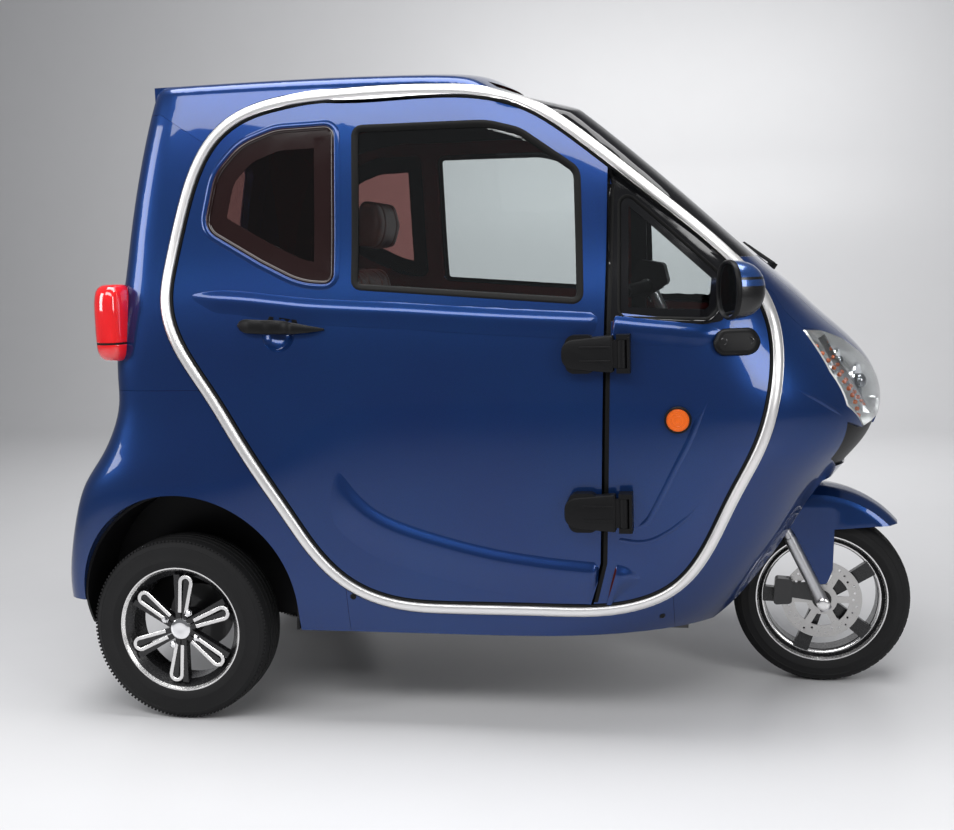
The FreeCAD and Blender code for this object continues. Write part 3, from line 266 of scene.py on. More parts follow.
# %% [markdown]
# Car paint is a coloured metal flake layer under clear lacquer. The flakes are a fine Voronoi
# pattern that varies the shade of each spot; the lacquer is the shader's coat.
# The inner side of every painted panel is covered by a dark red felt lining.

# %% Car paint


def paint_finish(name, bright, deep, lining):
    material = new_finish(name, bright, deep, metallic=0.5, rough=(0.24, 0.34), grain_scale=900.0,
                          depth=0.00001,
                          drift_scale=2.5, Coat_Weight=1.0, Coat_Roughness=0.03, Coat_IOR=1.38,
                          Specular_IOR_Level=0.0)
    tree = material.node_tree
    shader = tree.nodes["Principled BSDF"]
    coords = next(node for node in tree.nodes if node.type == "TEX_COORD")
    flakes = tree.nodes.new("ShaderNodeTexVoronoi")
    flakes.inputs["Scale"].default_value = 1400.0
    tree.links.new(coords.outputs["Object"], flakes.inputs["Vector"])
    side = tree.nodes.new("ShaderNodeGroup")
    side.node_tree = inner
    tree.links.new(coords.outputs["Object"], side.inputs["Position"])
    tree.links.new(coords.outputs["Normal"], side.inputs["Normal"])
    shade = next(node for node in tree.nodes if node.type == "GROUP" and node.node_tree == drift)
    sparkle = tree.nodes.new("ShaderNodeMix")
    sparkle.data_type = "RGBA"
    sparkle.blend_type = "SOFT_LIGHT"
    sparkle.inputs[0].default_value = 0.18
    tree.links.new(shade.outputs["Color"], sparkle.inputs[6])
    tree.links.new(flakes.outputs["Color"], sparkle.inputs[7])
    lined = tree.nodes.new("ShaderNodeMix")
    lined.data_type = "RGBA"
    tree.links.new(side.outputs["Mask"], lined.inputs[0])
    tree.links.new(sparkle.outputs[2], lined.inputs[6])
    lined.inputs[7].default_value = (*lining, 1.0)
    tree.links.new(lined.outputs[2], shader.inputs["Base Color"])
    outer = math_node(tree, "SUBTRACT", 1.0, side.outputs["Mask"])
    tree.links.new(math_node(tree, "MULTIPLY", outer, 0.62), shader.inputs["Metallic"])
    tree.links.new(outer, shader.inputs["Coat Weight"])
    texture = next(node for node in tree.nodes if node.type == "GROUP" and node.node_tree == grain)
    rough_felt = math_node(tree, "MULTIPLY", side.outputs["Mask"], 0.5)
    tree.links.new(math_node(tree, "ADD", texture.outputs["Roughness"], rough_felt),
                   shader.inputs["Roughness"])
    return material


def blacked_out(material, from_x, below_z):
    """Adds gloss black to a paint, forward of one place and below one height, as on a windscreen frame."""
    tree = material.node_tree
    shader = tree.nodes["Principled BSDF"]
    coords = next(node for node in tree.nodes if node.type == "TEX_COORD")
    parts = tree.nodes.new("ShaderNodeSeparateXYZ")
    tree.links.new(coords.outputs["Object"], parts.inputs[0])
    forward = math_node(tree, "GREATER_THAN", parts.outputs["X"], from_x)
    mask = math_node(tree, "MULTIPLY", forward, math_node(tree, "LESS_THAN", parts.outputs["Z"], below_z))
    for socket, value in (("Base Color", (0.006, 0.006, 0.007, 1.0)), ("Metallic", 0.0)):
        source = shader.inputs[socket].links[0].from_socket
        mix = tree.nodes.new("ShaderNodeMix")
        mix.data_type = "RGBA" if socket == "Base Color" else "FLOAT"
        first, second, result = (6, 7, 2) if socket == "Base Color" else (2, 3, 0)
        tree.links.new(mask, mix.inputs[0])
        tree.links.new(source, mix.inputs[first])
        mix.inputs[second].default_value = value
        tree.links.new(mix.outputs[result], shader.inputs[socket])
    return material


LINING = (0.060, 0.012, 0.012)
body_paint = paint_finish("blue metallic paint", (0.009, 0.042, 0.155), (0.011, 0.026, 0.112), LINING)
roof_paint = paint_finish("roof paint", (0.009, 0.042, 0.155), (0.011, 0.026, 0.112), LINING)
roof_paint = blacked_out(roof_paint, rear_x + 0.93, 1.655)

# %% [markdown]
# Window glass is a thin pane, so a plain transmitting shader is enough. The rear quarter panes
# are darker: the colour changes along X, at the post between the two panes of a door.

# %% Glass


def glass_finish(name, tint, dark=None, split_x=0.0):
    material = new_finish(name, tint, tint, rough=(0.0, 0.015), grain_scale=20.0, depth=0.00001,
                          Transmission_Weight=1.0, IOR=1.45)
    if dark:
        tree = material.node_tree
        coords = next(node for node in tree.nodes if node.type == "TEX_COORD")
        place = tree.nodes.new("ShaderNodeSeparateXYZ")
        tree.links.new(coords.outputs["Object"], place.inputs[0])
        mix = tree.nodes.new("ShaderNodeMix")
        mix.data_type = "RGBA"
        tree.links.new(math_node(tree, "LESS_THAN", place.outputs["X"], split_x), mix.inputs[0])
        mix.inputs[6].default_value = (*tint, 1.0)
        mix.inputs[7].default_value = (*dark, 1.0)
        tree.links.new(mix.outputs[2], tree.nodes["Principled BSDF"].inputs["Base Color"])
    return material


door_post_x = rear_x + 490 * MM
clear_glass = glass_finish("clear glass", (0.80, 0.84, 0.84))
door_glass = glass_finish("door glass", (0.80, 0.84, 0.84), dark=(0.30, 0.13, 0.12), split_x=door_post_x)
lamp_clear = glass_finish("lamp lens", (0.94, 0.96, 0.97))

# %% [markdown]
# A cast wheel is painted black, then its rim edge is turned bright on a lathe. The bright band
# is a mask on the distance from the wheel's own axle.

# %% Wheel finish


def wheel_finish(name, hub, bright_from):
    material = new_finish(name, (0.010, 0.010, 0.011), rough=(0.22, 0.32), grain_scale=200.0)
    tree = material.node_tree
    shader = tree.nodes["Principled BSDF"]
    coords = next(node for node in tree.nodes if node.type == "TEX_COORD")
    offset = tree.nodes.new("ShaderNodeVectorMath")
    offset.operation = "SUBTRACT"
    offset.inputs[1].default_value = hub
    flat = tree.nodes.new("ShaderNodeVectorMath")
    flat.operation = "MULTIPLY"
    flat.inputs[1].default_value = (1.0, 0.0, 1.0)
    radius = tree.nodes.new("ShaderNodeVectorMath")
    radius.operation = "LENGTH"
    tree.links.new(coords.outputs["Object"], offset.inputs[0])
    tree.links.new(offset.outputs["Vector"], flat.inputs[0])
    tree.links.new(flat.outputs["Vector"], radius.inputs[0])
    bright = math_node(tree, "GREATER_THAN", radius.outputs["Value"], bright_from)
    mix = tree.nodes.new("ShaderNodeMix")
    mix.data_type = "RGBA"
    tree.links.new(bright, mix.inputs[0])
    mix.inputs[6].default_value = (0.010, 0.010, 0.011, 1.0)
    mix.inputs[7].default_value = (0.82, 0.81, 0.80, 1.0)
    tree.links.new(mix.outputs[2], shader.inputs["Base Color"])
    tree.links.new(bright, shader.inputs["Metallic"])
    return material


front_alloy = wheel_finish("front wheel alloy", front_hub, 170 * MM)
rear_alloy = wheel_finish("rear wheel alloy", rear_hub["right"], 160 * MM)

# %% [markdown]
# ## Painting the solids
# Each solid takes the finish that its real piece has. The solids arrive as loose triangles, so
# a small Geometry Nodes modifier welds them and marks every edge under thirty degrees as
# smooth. Their own vertices stay as they are.

# %% Weld and smooth


def build_smooth_tree():
    tree = bpy.data.node_groups.new("weld and smooth", "GeometryNodeTree")
    tree.interface.new_socket(name="Geometry", in_out="INPUT", socket_type="NodeSocketGeometry")
    tree.interface.new_socket(name="Geometry", in_out="OUTPUT", socket_type="NodeSocketGeometry")
    start = tree.nodes.new("NodeGroupInput")
    end = tree.nodes.new("NodeGroupOutput")
    weld = tree.nodes.new("GeometryNodeMergeByDistance")
    weld.inputs["Distance"].default_value = 0.00002
    smooth = tree.nodes.new("GeometryNodeSetShadeSmooth")
    sharp = tree.nodes.new("GeometryNodeSetShadeSmooth")
    sharp.domain = "EDGE"
    sharp.inputs["Shade Smooth"].default_value = False
    angle = tree.nodes.new("GeometryNodeInputMeshEdgeAngle")
    steep = tree.nodes.new("FunctionNodeCompare")
    steep.operation = "GREATER_THAN"
    steep.inputs[1].default_value = math.radians(30)
    tree.links.new(start.outputs[0], weld.inputs["Geometry"])
    tree.links.new(weld.outputs[0], smooth.inputs["Geometry"])
    tree.links.new(smooth.outputs[0], sharp.inputs["Geometry"])
    tree.links.new(angle.outputs["Unsigned Angle"], steep.inputs[0])
    tree.links.new(steep.outputs[0], sharp.inputs["Selection"])
    tree.links.new(sharp.outputs[0], end.inputs[0])
    return tree


smooth_tree = build_smooth_tree()
FINISHES = {
    roof_paint: "roof",
    body_paint: "hood front_cowl rear_body rear_bumper rear_fenders sills side_panels tailgate door_right "
                "door_left front_fender",
    trim_silver: "door_trims",
    clear_glass: "windshield side_glass tailgate_glass",
    door_glass: "door_glass_right door_glass_left",
    lamp_clear: "headlamps",
    lamp_red: "tail_lamps",
    lamp_amber: "side_markers",
    black_plastic: "nose_grille door_jambs wheel_liners mirrors wiper door_handle_right door_handle_left "
                   "hinge_arms_right hinge_arms_left hinge_posts handlebar",
    dark_plastic: "floor_tray battery_block",
    pale_plastic: "dashboard",
    black_steel: "chassis_frame rear_axle leaf_springs brake_caliper",
    fork_silver: "fork",
    disc_steel: "brake_disc",
    tyre_rubber: "front_tyre rear_tyre_right rear_tyre_left",
    front_alloy: "front_rim",
    rear_alloy: "rear_rim_right rear_rim_left",
    leather: "driver_seat headrest rear_seat",
}
painted = 0
for material, names in FINISHES.items():
    for name in names.split():
        solid = nodes[name]
        solid.data.materials.clear()
        solid.data.materials.append(material)
        modifier = solid.modifiers.new("weld and smooth", "NODES")
        modifier.node_group = smooth_tree
        painted += 1
print("painted solids:", painted, "of", len(nodes))

# %% [markdown]
# ## Shape helpers
# Pieces are drawn as small meshes. *Finish piece* turns a bmesh into an object: normals face
# outwards, edges over thirty five degrees stay sharp, and the piece is hung on its body.
# *Sweep* pushes a profile along a path. *Mirror* makes the left copy of a right hand piece.

# %% Shape helpers


def place(x, y, z):
    return Vector((rear_x + x * MM, y * MM, z * MM))


def finish_piece(name, bm, material, body, sharp=35.0):
    bmesh.ops.recalc_face_normals(bm, faces=bm.faces)
    mesh = bpy.data.meshes.new(name)
    bm.to_mesh(mesh)
    bm.free()
    mesh.polygons.foreach_set("use_smooth", [True] * len(mesh.polygons))
    mesh.set_sharp_from_angle(angle=math.radians(sharp))
    mesh.materials.append(material)
    piece = bpy.data.objects.new(name, mesh)
    bpy.context.scene.collection.objects.link(piece)
    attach(piece, body)
    return piece


def mirror_piece(source, name, body):
    bm = bmesh.new()
    bm.from_mesh(source.data)
    for vert in bm.verts:
        vert.co.y = -vert.co.y
    return finish_piece(name, bm, source.data.materials[0], body)


def sweep(bm, stations, profile, closed=False, capped=True):
    rings = []
    for point, across, out in stations:
        rings.append([bm.verts.new(point + across * u * MM + out * v * MM) for u, v in profile])
    size = len(profile)
    following = rings[1:] + rings[:1] if closed else rings[1:]
    for first, second in zip(rings, following):
        for k in range(size):
            bm.faces.new((first[k], first[(k + 1) % size], second[(k + 1) % size], second[k]))
    if capped and not closed:
        bm.faces.new(rings[0])
        bm.faces.new(list(reversed(rings[-1])))
    return rings


def tube(bm, points, radius, sides=14):
    ring = [(radius * math.cos(math.tau * k / sides),
             radius * math.sin(math.tau * k / sides)) for k in range(sides)]
    stations = []
    across = None
    for index, point in enumerate(points):
        ahead = points[min(index + 1, len(points) - 1)] - points[max(index - 1, 0)]
        ahead.normalize()
        if across is None:
            across = ahead.orthogonal().normalized()
        across = (across - ahead * across.dot(ahead)).normalized()
        stations.append((point, across, ahead.cross(across)))
    sweep(bm, stations, ring)


def spin(bm, centre, axis, profile, sides=96):
    """Turns a closed profile of (along the axis, radius) pairs round an axis, in millimetres."""
    axis = Vector(axis).normalized()
    first = axis.orthogonal().normalized()
    second = axis.cross(first)
    stations = []
    for k in range(sides):
        turn = math.tau * k / sides
        stations.append((Vector(centre), axis, first * math.cos(turn) + second * math.sin(turn)))
    rings = [[bm.verts.new(point + along * a * MM + out * r * MM) for a, r in profile] for point, along,
             out in stations]
    size = len(profile)
    for first_ring, second_ring in zip(rings, rings[1:] + rings[:1]):
        for k in range(size):
            if profile[k][1] < 1e-6 and profile[(k + 1) % size][1] < 1e-6:
                continue
            corners = [first_ring[k], first_ring[(k + 1) % size], second_ring[(k + 1) % size],
                       second_ring[k]]
            bm.faces.new(corners)
    bmesh.ops.remove_doubles(bm, verts=bm.verts, dist=1e-7)


# %% [markdown]
# ## Outlines
# The side openings are drawn in the side view. A smooth loop is a periodic cubic spline through
# its points; a window is a polygon with rounded corners. Both can be moved inwards.

# %% Outlines


def smooth_loop(points, count):
    knots = np.array(points, dtype=float)
    size = len(knots)
    steps = np.linalg.norm(np.roll(knots, -1, axis=0) - knots, axis=1)
    before = np.roll(steps, 1)
    matrix = np.zeros((size, size))
    right = np.zeros((size, 2))
    for k in range(size):
        left_step, right_step = before[k], steps[k]
        matrix[k, (k - 1) % size] += right_step
        matrix[k, k] += 2.0 * (left_step + right_step)
        matrix[k, (k + 1) % size] += left_step
        right[k] = 3.0 * (right_step * (knots[k] - knots[k - 1]) / left_step
                          + left_step * (knots[(k + 1) % size] - knots[k]) / right_step)
    slopes = np.linalg.solve(matrix, right)
    ends = np.concatenate([[0.0], np.cumsum(steps)])
    result = []
    for distance in np.linspace(0.0, ends[-1], count, endpoint=False):
        k = int(np.searchsorted(ends, distance, side="right")) - 1
        part = (distance - ends[k]) / steps[k]
        a, b = knots[k], knots[(k + 1) % size]
        da, db = slopes[k] * steps[k], slopes[(k + 1) % size] * steps[k]
        result.append(a * (2 * part ** 3 - 3 * part ** 2 + 1) + da * (part ** 3 - 2 * part ** 2 + part)
                      + b * (3 * part ** 2 - 2 * part ** 3) + db * (part ** 3 - part ** 2))
    return [(float(x), float(z)) for x, z in result]


def rounded_corners(points, radii, arc_steps=10):
    size = len(points)
    result = []
    for k in range(size):
        corner = np.array(points[k], dtype=float)
        before = np.array(points[k - 1]) - corner
        after = np.array(points[(k + 1) % size]) - corner
        before /= np.linalg.norm(before)
        after /= np.linalg.norm(after)
        half = math.acos(max(-1.0, min(1.0, float(before @ after)))) / 2.0
        radius = radii[k] if isinstance(radii, (tuple, list)) else radii
        reach = radius / math.tan(half)
        middle = corner + (before + after) / np.linalg.norm(before + after) * radius / math.sin(half)
        start = corner + before * reach - middle
        end = corner + after * reach - middle
        spread = math.pi - 2.0 * half
        for step in range(arc_steps + 1):
            part = step / arc_steps
            point = (start * math.sin((1 - part) * spread) + end * math.sin(part * spread)) / math.sin(spread)
            result.append(tuple(middle + point))
    return result


def evenly(points, count):
    loop = np.array(list(points) + [points[0]])
    steps = np.linalg.norm(np.diff(loop, axis=0), axis=1)
    ends = np.concatenate([[0.0], np.cumsum(steps)])
    places = np.linspace(0.0, ends[-1], count, endpoint=False)
    return list(zip(np.interp(places, ends, loop[:, 0]).tolist(), np.interp(places, ends,
            loop[:, 1]).tolist()))


def moved_in(points, distance):
    loop = np.array(points)
    area = 0.5 * np.sum(loop[:, 0] * np.roll(loop[:, 1], -1) - np.roll(loop[:, 0], -1) * loop[:, 1])
    along = np.roll(loop, -1, axis=0) - np.roll(loop, 1, axis=0)
    along /= np.linalg.norm(along, axis=1)[:, None]
    inward = np.stack([-along[:, 1], along[:, 0]], axis=1) * (1.0 if area > 0 else -1.0)
    return [tuple(point) for point in loop + inward * distance]


OPENING = smooth_loop((
    (460, 1637), (768, 1634), (868, 1622), (966, 1590), (1087, 1511), (1277, 1356),
    (1467, 1188), (1528, 1110), (1562, 1020), (1568, 940), (1558, 848), (1530, 745),
    (1462, 603), (1388, 450), (1312, 362), (1215, 320), (990, 309), (737, 310),
    (600, 320), (478, 368), (400, 440), (312, 575), (213, 730), (118, 880),
    (62, 965), (22, 1045), (5, 1123), (16, 1225), (47, 1352), (88, 1466),
    (150, 1553), (236, 1604), (340, 1628)), 360)
MAIN_WINDOW = evenly(rounded_corners(((517, 1543), (860, 1540), (943, 1517), (1088, 1413), (1096, 1088),
                                      (517, 1138)),
                                     (24, 200, 120, 45, 24, 24)), 200)
REAR_WINDOW = evenly(rounded_corners(((468, 1546), (314, 1543), (219, 1510), (151, 1437), (121, 1300), (273,
        1212),
                                      (382, 1158), (468, 1152)), (24, 150, 150, 120, 50, 220, 220, 24)), 200)
FRONT_WINDOW = evenly(rounded_corners(((1178, 1374), (1178, 1053), (1395, 1041), (1418, 1066), (1426, 1152),
                                       (1247, 1316)), (24, 24, 24, 18, 24, 24)), 160)

# %% [markdown]
# ## Touching the skin
# Pieces that lie on the body find their depth with rays cast at the solids from the side. Glass
# sits five millimetres behind the skin, so a hit on glass is moved back out by that much.

# %% Rays


def ray_tree(*names):
    verts, faces = [], []
    for name in names:
        mesh = nodes[name].data
        start = len(verts)
        verts.extend(vert.co.copy() for vert in mesh.vertices)
        faces.extend([start + index for index in face.vertices] for face in mesh.polygons)
    return BVHTree.FromPolygons(verts, faces)


glass_depth = 5.0
side_skin = [(ray_tree("door_right", "side_panels"), 0.0), (ray_tree("door_glass_right", "side_glass"),
                                                            glass_depth)]
trim_skin = [(ray_tree("door_trims"), 0.0)]


def touch(layers, x, z):
    best = None
    for tree, depth in layers:
        hit, normal, face, reach = tree.ray_cast(place(x, -900.0, z), Vector((0.0, 1.0, 0.0)), 0.8)
        if hit is None:
            continue
        if normal.y > 0:
            normal = -normal
        point = hit + normal * depth * MM
        if best is None or point.y < best[0].y:
            best = (point, normal)
    return best


def lay_path(layers, points, closed=True):
    """Points and outward normals on the skin along a side view path, with gaps filled."""
    hits = [touch(layers, x, z) for x, z in points]
    known = [index for index, hit in enumerate(hits) if hit is not None]
    size = len(points)
    laid = []
    for index, (x, z) in enumerate(points):
        hit = hits[index]
        if hit is None:
            nearest = min(known, key=lambda other: min(abs(other - index), size - abs(other - index)))
            near = hits[nearest]
            point = place(x, 0.0, z)
            point.y = near[0].y
            hit = (point, near[1])
        laid.append(hit)
    normals = []
    for index in range(size):
        total = Vector((0.0, 0.0, 0.0))
        for shift in range(-3, 4):
            other = (index + shift) % size if closed else min(max(index + shift, 0), size - 1)
            total += laid[other][1]
        normals.append(total.normalized())
    depths = []
    for index in range(size):
        near = []
        for shift in range(-2, 3):
            other = (index + shift) % size if closed else min(max(index + shift, 0), size - 1)
            near.append(laid[other][0].y)
        depths.append(sorted(near)[2])
    result = []
    for index, (x, z) in enumerate(points):
        point = place(x, 0.0, z)
        point.y = depths[index]
        result.append((point, normals[index]))
    return result


def stations_along(laid, closed=True, inward=True):
    """Stations for a sweep: across points into the outline, out points away from the body."""
    size = len(laid)
    stations = []
    for index, (point, normal) in enumerate(laid):
        after = laid[(index + 1) % size][0] if closed or index + 1 < size else point
        before = laid[index - 1][0] if closed or index > 0 else point
        along = (after - before).normalized()
        out = (normal - along * normal.dot(along)).normalized()
        stations.append((point, out.cross(along) * (1.0 if inward else -1.0), out))
    return stations


def inward_sign(points):
    loop = np.array(points)
    area = 0.5 * np.sum(loop[:, 0] * np.roll(loop[:, 1], -1) - np.roll(loop[:, 0], -1) * loop[:, 1])
    return area > 0


def side_band(name, outline, inset, profile, material, body, layers=None, bodies=None):
    """A profile swept round an outline on the right side, and its mirrored twin."""
    path = moved_in(outline, inset)
    laid = lay_path(layers or side_skin, path)
    stations = stations_along(laid, inward=inward_sign(path))
    bm = bmesh.new()
    sweep(bm, stations, profile, closed=True)
    right = finish_piece(name + "_right", bm, material, bodies[0] if bodies else body, sharp=50.0)
    mirror_piece(right, name + "_left", bodies[1] if bodies else body)
    return right


# %% [markdown]
# ## Bright strip, seals and window rubbers
# A rounded satin strip runs all round the side opening, with a thin dark edge outside it and a
# soft black seal inside it. Every window is held by a rounded black rubber that covers the gap
# between glass and panel.

# %% Strip, seals and rubbers
DOORS = ("door_right", "door_left")
side_band("trim_cap", OPENING, 12.7, ((-12.2, -7.0), (-12.2, 0.2), (-10.4, 2.8), (-7.0, 4.6), (-2.5, 5.6),
                                      (2.5, 5.6),
                                      (7.0, 4.6), (10.4, 2.8), (12.2, 0.2), (12.2, -7.0)),
          trim_silver, "body", layers=trim_skin)
side_band("trim_edge", OPENING, 12.7, ((-15.4, -16.0), (-15.4, -3.2), (-14.2, -1.8), (-12.6, -1.8),
                                       (-12.4, -16.0)),
          seal_rubber, "body", layers=trim_skin)
side_band("door_seal", OPENING, 12.7, ((12.7, -26.0), (12.7, -5.0), (14.0, -2.6), (16.0, -2.0), (18.0, -3.4),
                                       (18.8, -6.5), (18.8, -26.0)),
          seal_rubber, "body", layers=trim_skin)
RUBBER = ((-6.0, -0.6), (-6.0, 0.3), (-4.0, 1.1), (0.5, 1.2), (6.0, 0.2), (9.5, -1.6), (11.5, -3.4), (12.0,
        -5.1),
          (1.0, -5.1), (-1.0, -0.6))
side_band("main_rubber", MAIN_WINDOW, 4.0, RUBBER, deep_rubber, None, bodies=DOORS)
SLIM = ((-5.5, -0.6), (-5.5, 0.3), (-3.0, 1.1), (1.0, 0.8), (4.5, -3.8), (4.5, -5.1), (1.0, -5.1), (-1.0,
        -0.6))
side_band("quarter_rubber", REAR_WINDOW, 4.0, SLIM, quarter_print, None, bodies=DOORS)
side_band("front_rubber", FRONT_WINDOW, 4.0, SLIM, deep_rubber, "body")
LIP = ((-21.0, -0.8), (-21.0, 0.2), (-17.0, 2.2), (-12.0, 3.0), (-8.0, 2.6), (-5.8, 0.6), (-5.8, -0.8))
side_band("quarter_lip", REAR_WINDOW, 4.0, LIP, body_paint, None, bodies=DOORS)

# %% [markdown]
# ## Printed glass borders
# The fixed panes are glued in, and a black printed border hides the glue. Each border is a thin
# sheet on the outside of the glass, between two outlines.

# %% Glass borders


def border(name, outer, inner_edge, lift, rows, material, bodies, layers=None):
    bm = bmesh.new()
    grid = []
    for row in range(rows + 1):
        part = row / rows
        points = [(a[0] + (b[0] - a[0]) * part, a[1] + (b[1] - a[1]) * part) for a, b in zip(outer,
                inner_edge)]
        laid = lay_path(layers or side_skin, points)
        grid.append([point + normal * lift * MM for point, normal in laid])
    thickness = Vector((0.0, 0.0006, 0.0))
    outside = [[bm.verts.new(point) for point in row] for row in grid]
    inside = [[bm.verts.new(point + thickness) for point in row] for row in grid]
    size = len(outer)
    for k in range(size):
        nxt = (k + 1) % size
        for row in range(rows):
            bm.faces.new((outside[row][k], outside[row][nxt], outside[row + 1][nxt], outside[row + 1][k]))
            bm.faces.new((inside[row][k], inside[row + 1][k], inside[row + 1][nxt], inside[row][nxt]))
        bm.faces.new((outside[0][k], inside[0][k], inside[0][nxt], outside[0][nxt]))
        bm.faces.new((outside[rows][k], outside[rows][nxt], inside[rows][nxt], inside[rows][k]))
    right = finish_piece(name + "_right", bm, material, bodies[0])
    mirror_piece(right, name + "_left", bodies[1])


glass_only = [(ray_tree("door_glass_right", "side_glass"), 0.0)]
border("quarter_border", moved_in(REAR_WINDOW, 6.0), moved_in(REAR_WINDOW, 52.0), 0.7, 5, quarter_print,
       DOORS,
       layers=glass_only)
inner_loop = moved_in(OPENING, 31.0)
curve = [point for point in inner_loop if point[0] > 1159.0 and point[1] > 1155.0]
curve.sort(key=lambda point: -point[0])
FRONT_BORDER = [(1158.0, 1046.0), (1382.0, 1033.0), (1424.0, 1040.0), (1440.0, 1085.0)] + curve
FRONT_BORDER += [(1158.0, curve[-1][1] - 2.0)]
FRONT_BORDER = evenly(FRONT_BORDER, 160)
start_at = min(range(160), key=lambda k: math.dist(FRONT_BORDER[k], FRONT_WINDOW[0]))
FRONT_BORDER = FRONT_BORDER[start_at:] + FRONT_BORDER[:start_at]
border("front_border", FRONT_BORDER, moved_in(FRONT_WINDOW, 1.0), 0.8, 6, gloss_black, ("body", "body"))
border("front_glass_border", moved_in(FRONT_WINDOW, 5.0), moved_in(FRONT_WINDOW, 26.0), 0.7, 3, gloss_black,
       ("body", "body"), layers=glass_only)

# %% [markdown]
# ## Repeats round an axle
# Tread blocks, spokes and nuts are drawn once, and Geometry Nodes copies them round the axle.
# The tree makes points, puts one copy on each with a growing turn, realizes them and sets the
# material. The result becomes a plain mesh, so nothing stays live.

# %% Repeats


def build_ring_tree():
    tree = bpy.data.node_groups.new("ring of copies", "GeometryNodeTree")
    tree.interface.new_socket(name="Geometry", in_out="INPUT", socket_type="NodeSocketGeometry")
    tree.interface.new_socket(name="Count", in_out="INPUT", socket_type="NodeSocketInt")
    tree.interface.new_socket(name="Start", in_out="INPUT", socket_type="NodeSocketFloat")
    tree.interface.new_socket(name="Material", in_out="INPUT", socket_type="NodeSocketMaterial")
    tree.interface.new_socket(name="Geometry", in_out="OUTPUT", socket_type="NodeSocketGeometry")
    start = tree.nodes.new("NodeGroupInput")
    end = tree.nodes.new("NodeGroupOutput")
    points = tree.nodes.new("GeometryNodePoints")
    index = tree.nodes.new("GeometryNodeInputIndex")
    share = tree.nodes.new("ShaderNodeMath")
    share.operation = "DIVIDE"
    turn = tree.nodes.new("ShaderNodeMath")
    turn.operation = "MULTIPLY_ADD"
    turn.inputs[1].default_value = math.tau
    angles = tree.nodes.new("ShaderNodeCombineXYZ")
    copies = tree.nodes.new("GeometryNodeInstanceOnPoints")
    realize = tree.nodes.new("GeometryNodeRealizeInstances")
    paint = tree.nodes.new("GeometryNodeSetMaterial")
    tree.links.new(start.outputs["Count"], points.inputs["Count"])
    tree.links.new(index.outputs[0], share.inputs[0])
    tree.links.new(start.outputs["Count"], share.inputs[1])
    tree.links.new(share.outputs[0], turn.inputs[0])
    tree.links.new(start.outputs["Start"], turn.inputs[2])
    tree.links.new(turn.outputs[0], angles.inputs["Y"])
    tree.links.new(points.outputs[0], copies.inputs["Points"])
    tree.links.new(start.outputs["Geometry"], copies.inputs["Instance"])
    tree.links.new(angles.outputs[0], copies.inputs["Rotation"])
    tree.links.new(copies.outputs[0], realize.inputs[0])
    tree.links.new(realize.outputs[0], paint.inputs["Geometry"])
    tree.links.new(start.outputs["Material"], paint.inputs["Material"])
    tree.links.new(paint.outputs[0], end.inputs[0])
    return tree


ring_tree = build_ring_tree()
ring_inputs = {item.name: item.identifier for item in ring_tree.interface.items_tree if item.in_out == "INPUT"}


def repeat_round(name, bm, hub, count, start, material, body, mirrored=False):
    """Copies a shape drawn round the origin; a positive turn goes from +Z towards +X."""
    bmesh.ops.recalc_face_normals(bm, faces=bm.faces)
    mesh = bpy.data.meshes.new(name)
    bm.to_mesh(mesh)
    bm.free()
    mesh.polygons.foreach_set("use_smooth", [True] * len(mesh.polygons))
    mesh.set_sharp_from_angle(angle=math.radians(35.0))
    piece = bpy.data.objects.new(name, mesh)
    bpy.context.scene.collection.objects.link(piece)
    modifier = piece.modifiers.new("ring of copies", "NODES")
    modifier.node_group = ring_tree
    modifier[ring_inputs["Count"]] = count
    modifier[ring_inputs["Start"]] = start
    modifier[ring_inputs["Material"]] = material
    bpy.context.view_layer.update()
    whole = bpy.data.meshes.new_from_object(piece.evaluated_get(bpy.context.evaluated_depsgraph_get()))
    piece.modifiers.clear()
    piece.data = whole
    if not whole.materials:
        whole.materials.append(material)
    for vert in whole.vertices:
        if mirrored:
            vert.co.y = -vert.co.y
        vert.co += hub
    if mirrored:
        whole.flip_normals()
    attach(piece, body)
    return piece


# %% [markdown]
# ## Tyres
# A tyre is a turned profile: a rounded tread with grooves running round it, shoulders, and
# sidewalls with two fine ribs. Shoulder blocks and slanted grooves are added as repeats: the
# front tyre has slanted blocks between its grooves, the rear tyres a fine toothed shoulder.

# %% Tyres


def tyre_profile(radius, width, bead, grooves, depth):
    half = width / 2.0
    side = [(half - 19.0, bead), (half - 7.0, bead + 3.0), (half - 2.5, bead + 10.0), (half - 0.8,
            bead + 20.0),
            (half - 0.2, bead + 22.0), (half - 0.2, bead + 23.6), (half - 1.0, bead + 25.0),
            (half - 1.5, radius - 32.0), (half - 3.2, radius - 22.0), (half - 2.6, radius - 20.6),
            (half - 4.0, radius - 19.0), (half - 8.0, radius - 11.0), (half - 15.0, radius - 5.0)]
    crown = []
    edge = half - 20.0
    marks = sorted([(g - 2.6, g + 2.6) for g in grooves], reverse=True)

    def height(y):
        return radius - 3.2 * (abs(y) / edge) ** 2.4

    crown.append((edge, height(edge)))
    for low, high in marks:
        crown.extend([(high, height(high)), (high - 0.7, height(high) - depth), (low + 0.7,
                height(low) - depth),
                      (low, height(low))])
    crown.append((-edge, height(edge)))
    mirrored = [(-y, r) for y, r in reversed(side)]
    return side + crown + mirrored


def make_tyre(name, node, hub, radius, width, bead, grooves, body):
    bm = bmesh.new()
    spin(bm, hub, (0.0, 1.0, 0.0), tyre_profile(radius, width, bead, grooves, 5.5), sides=112)
    piece = finish_piece(name, bm, tyre_rubber, body, sharp=32.0)
    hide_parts(node)
    return piece


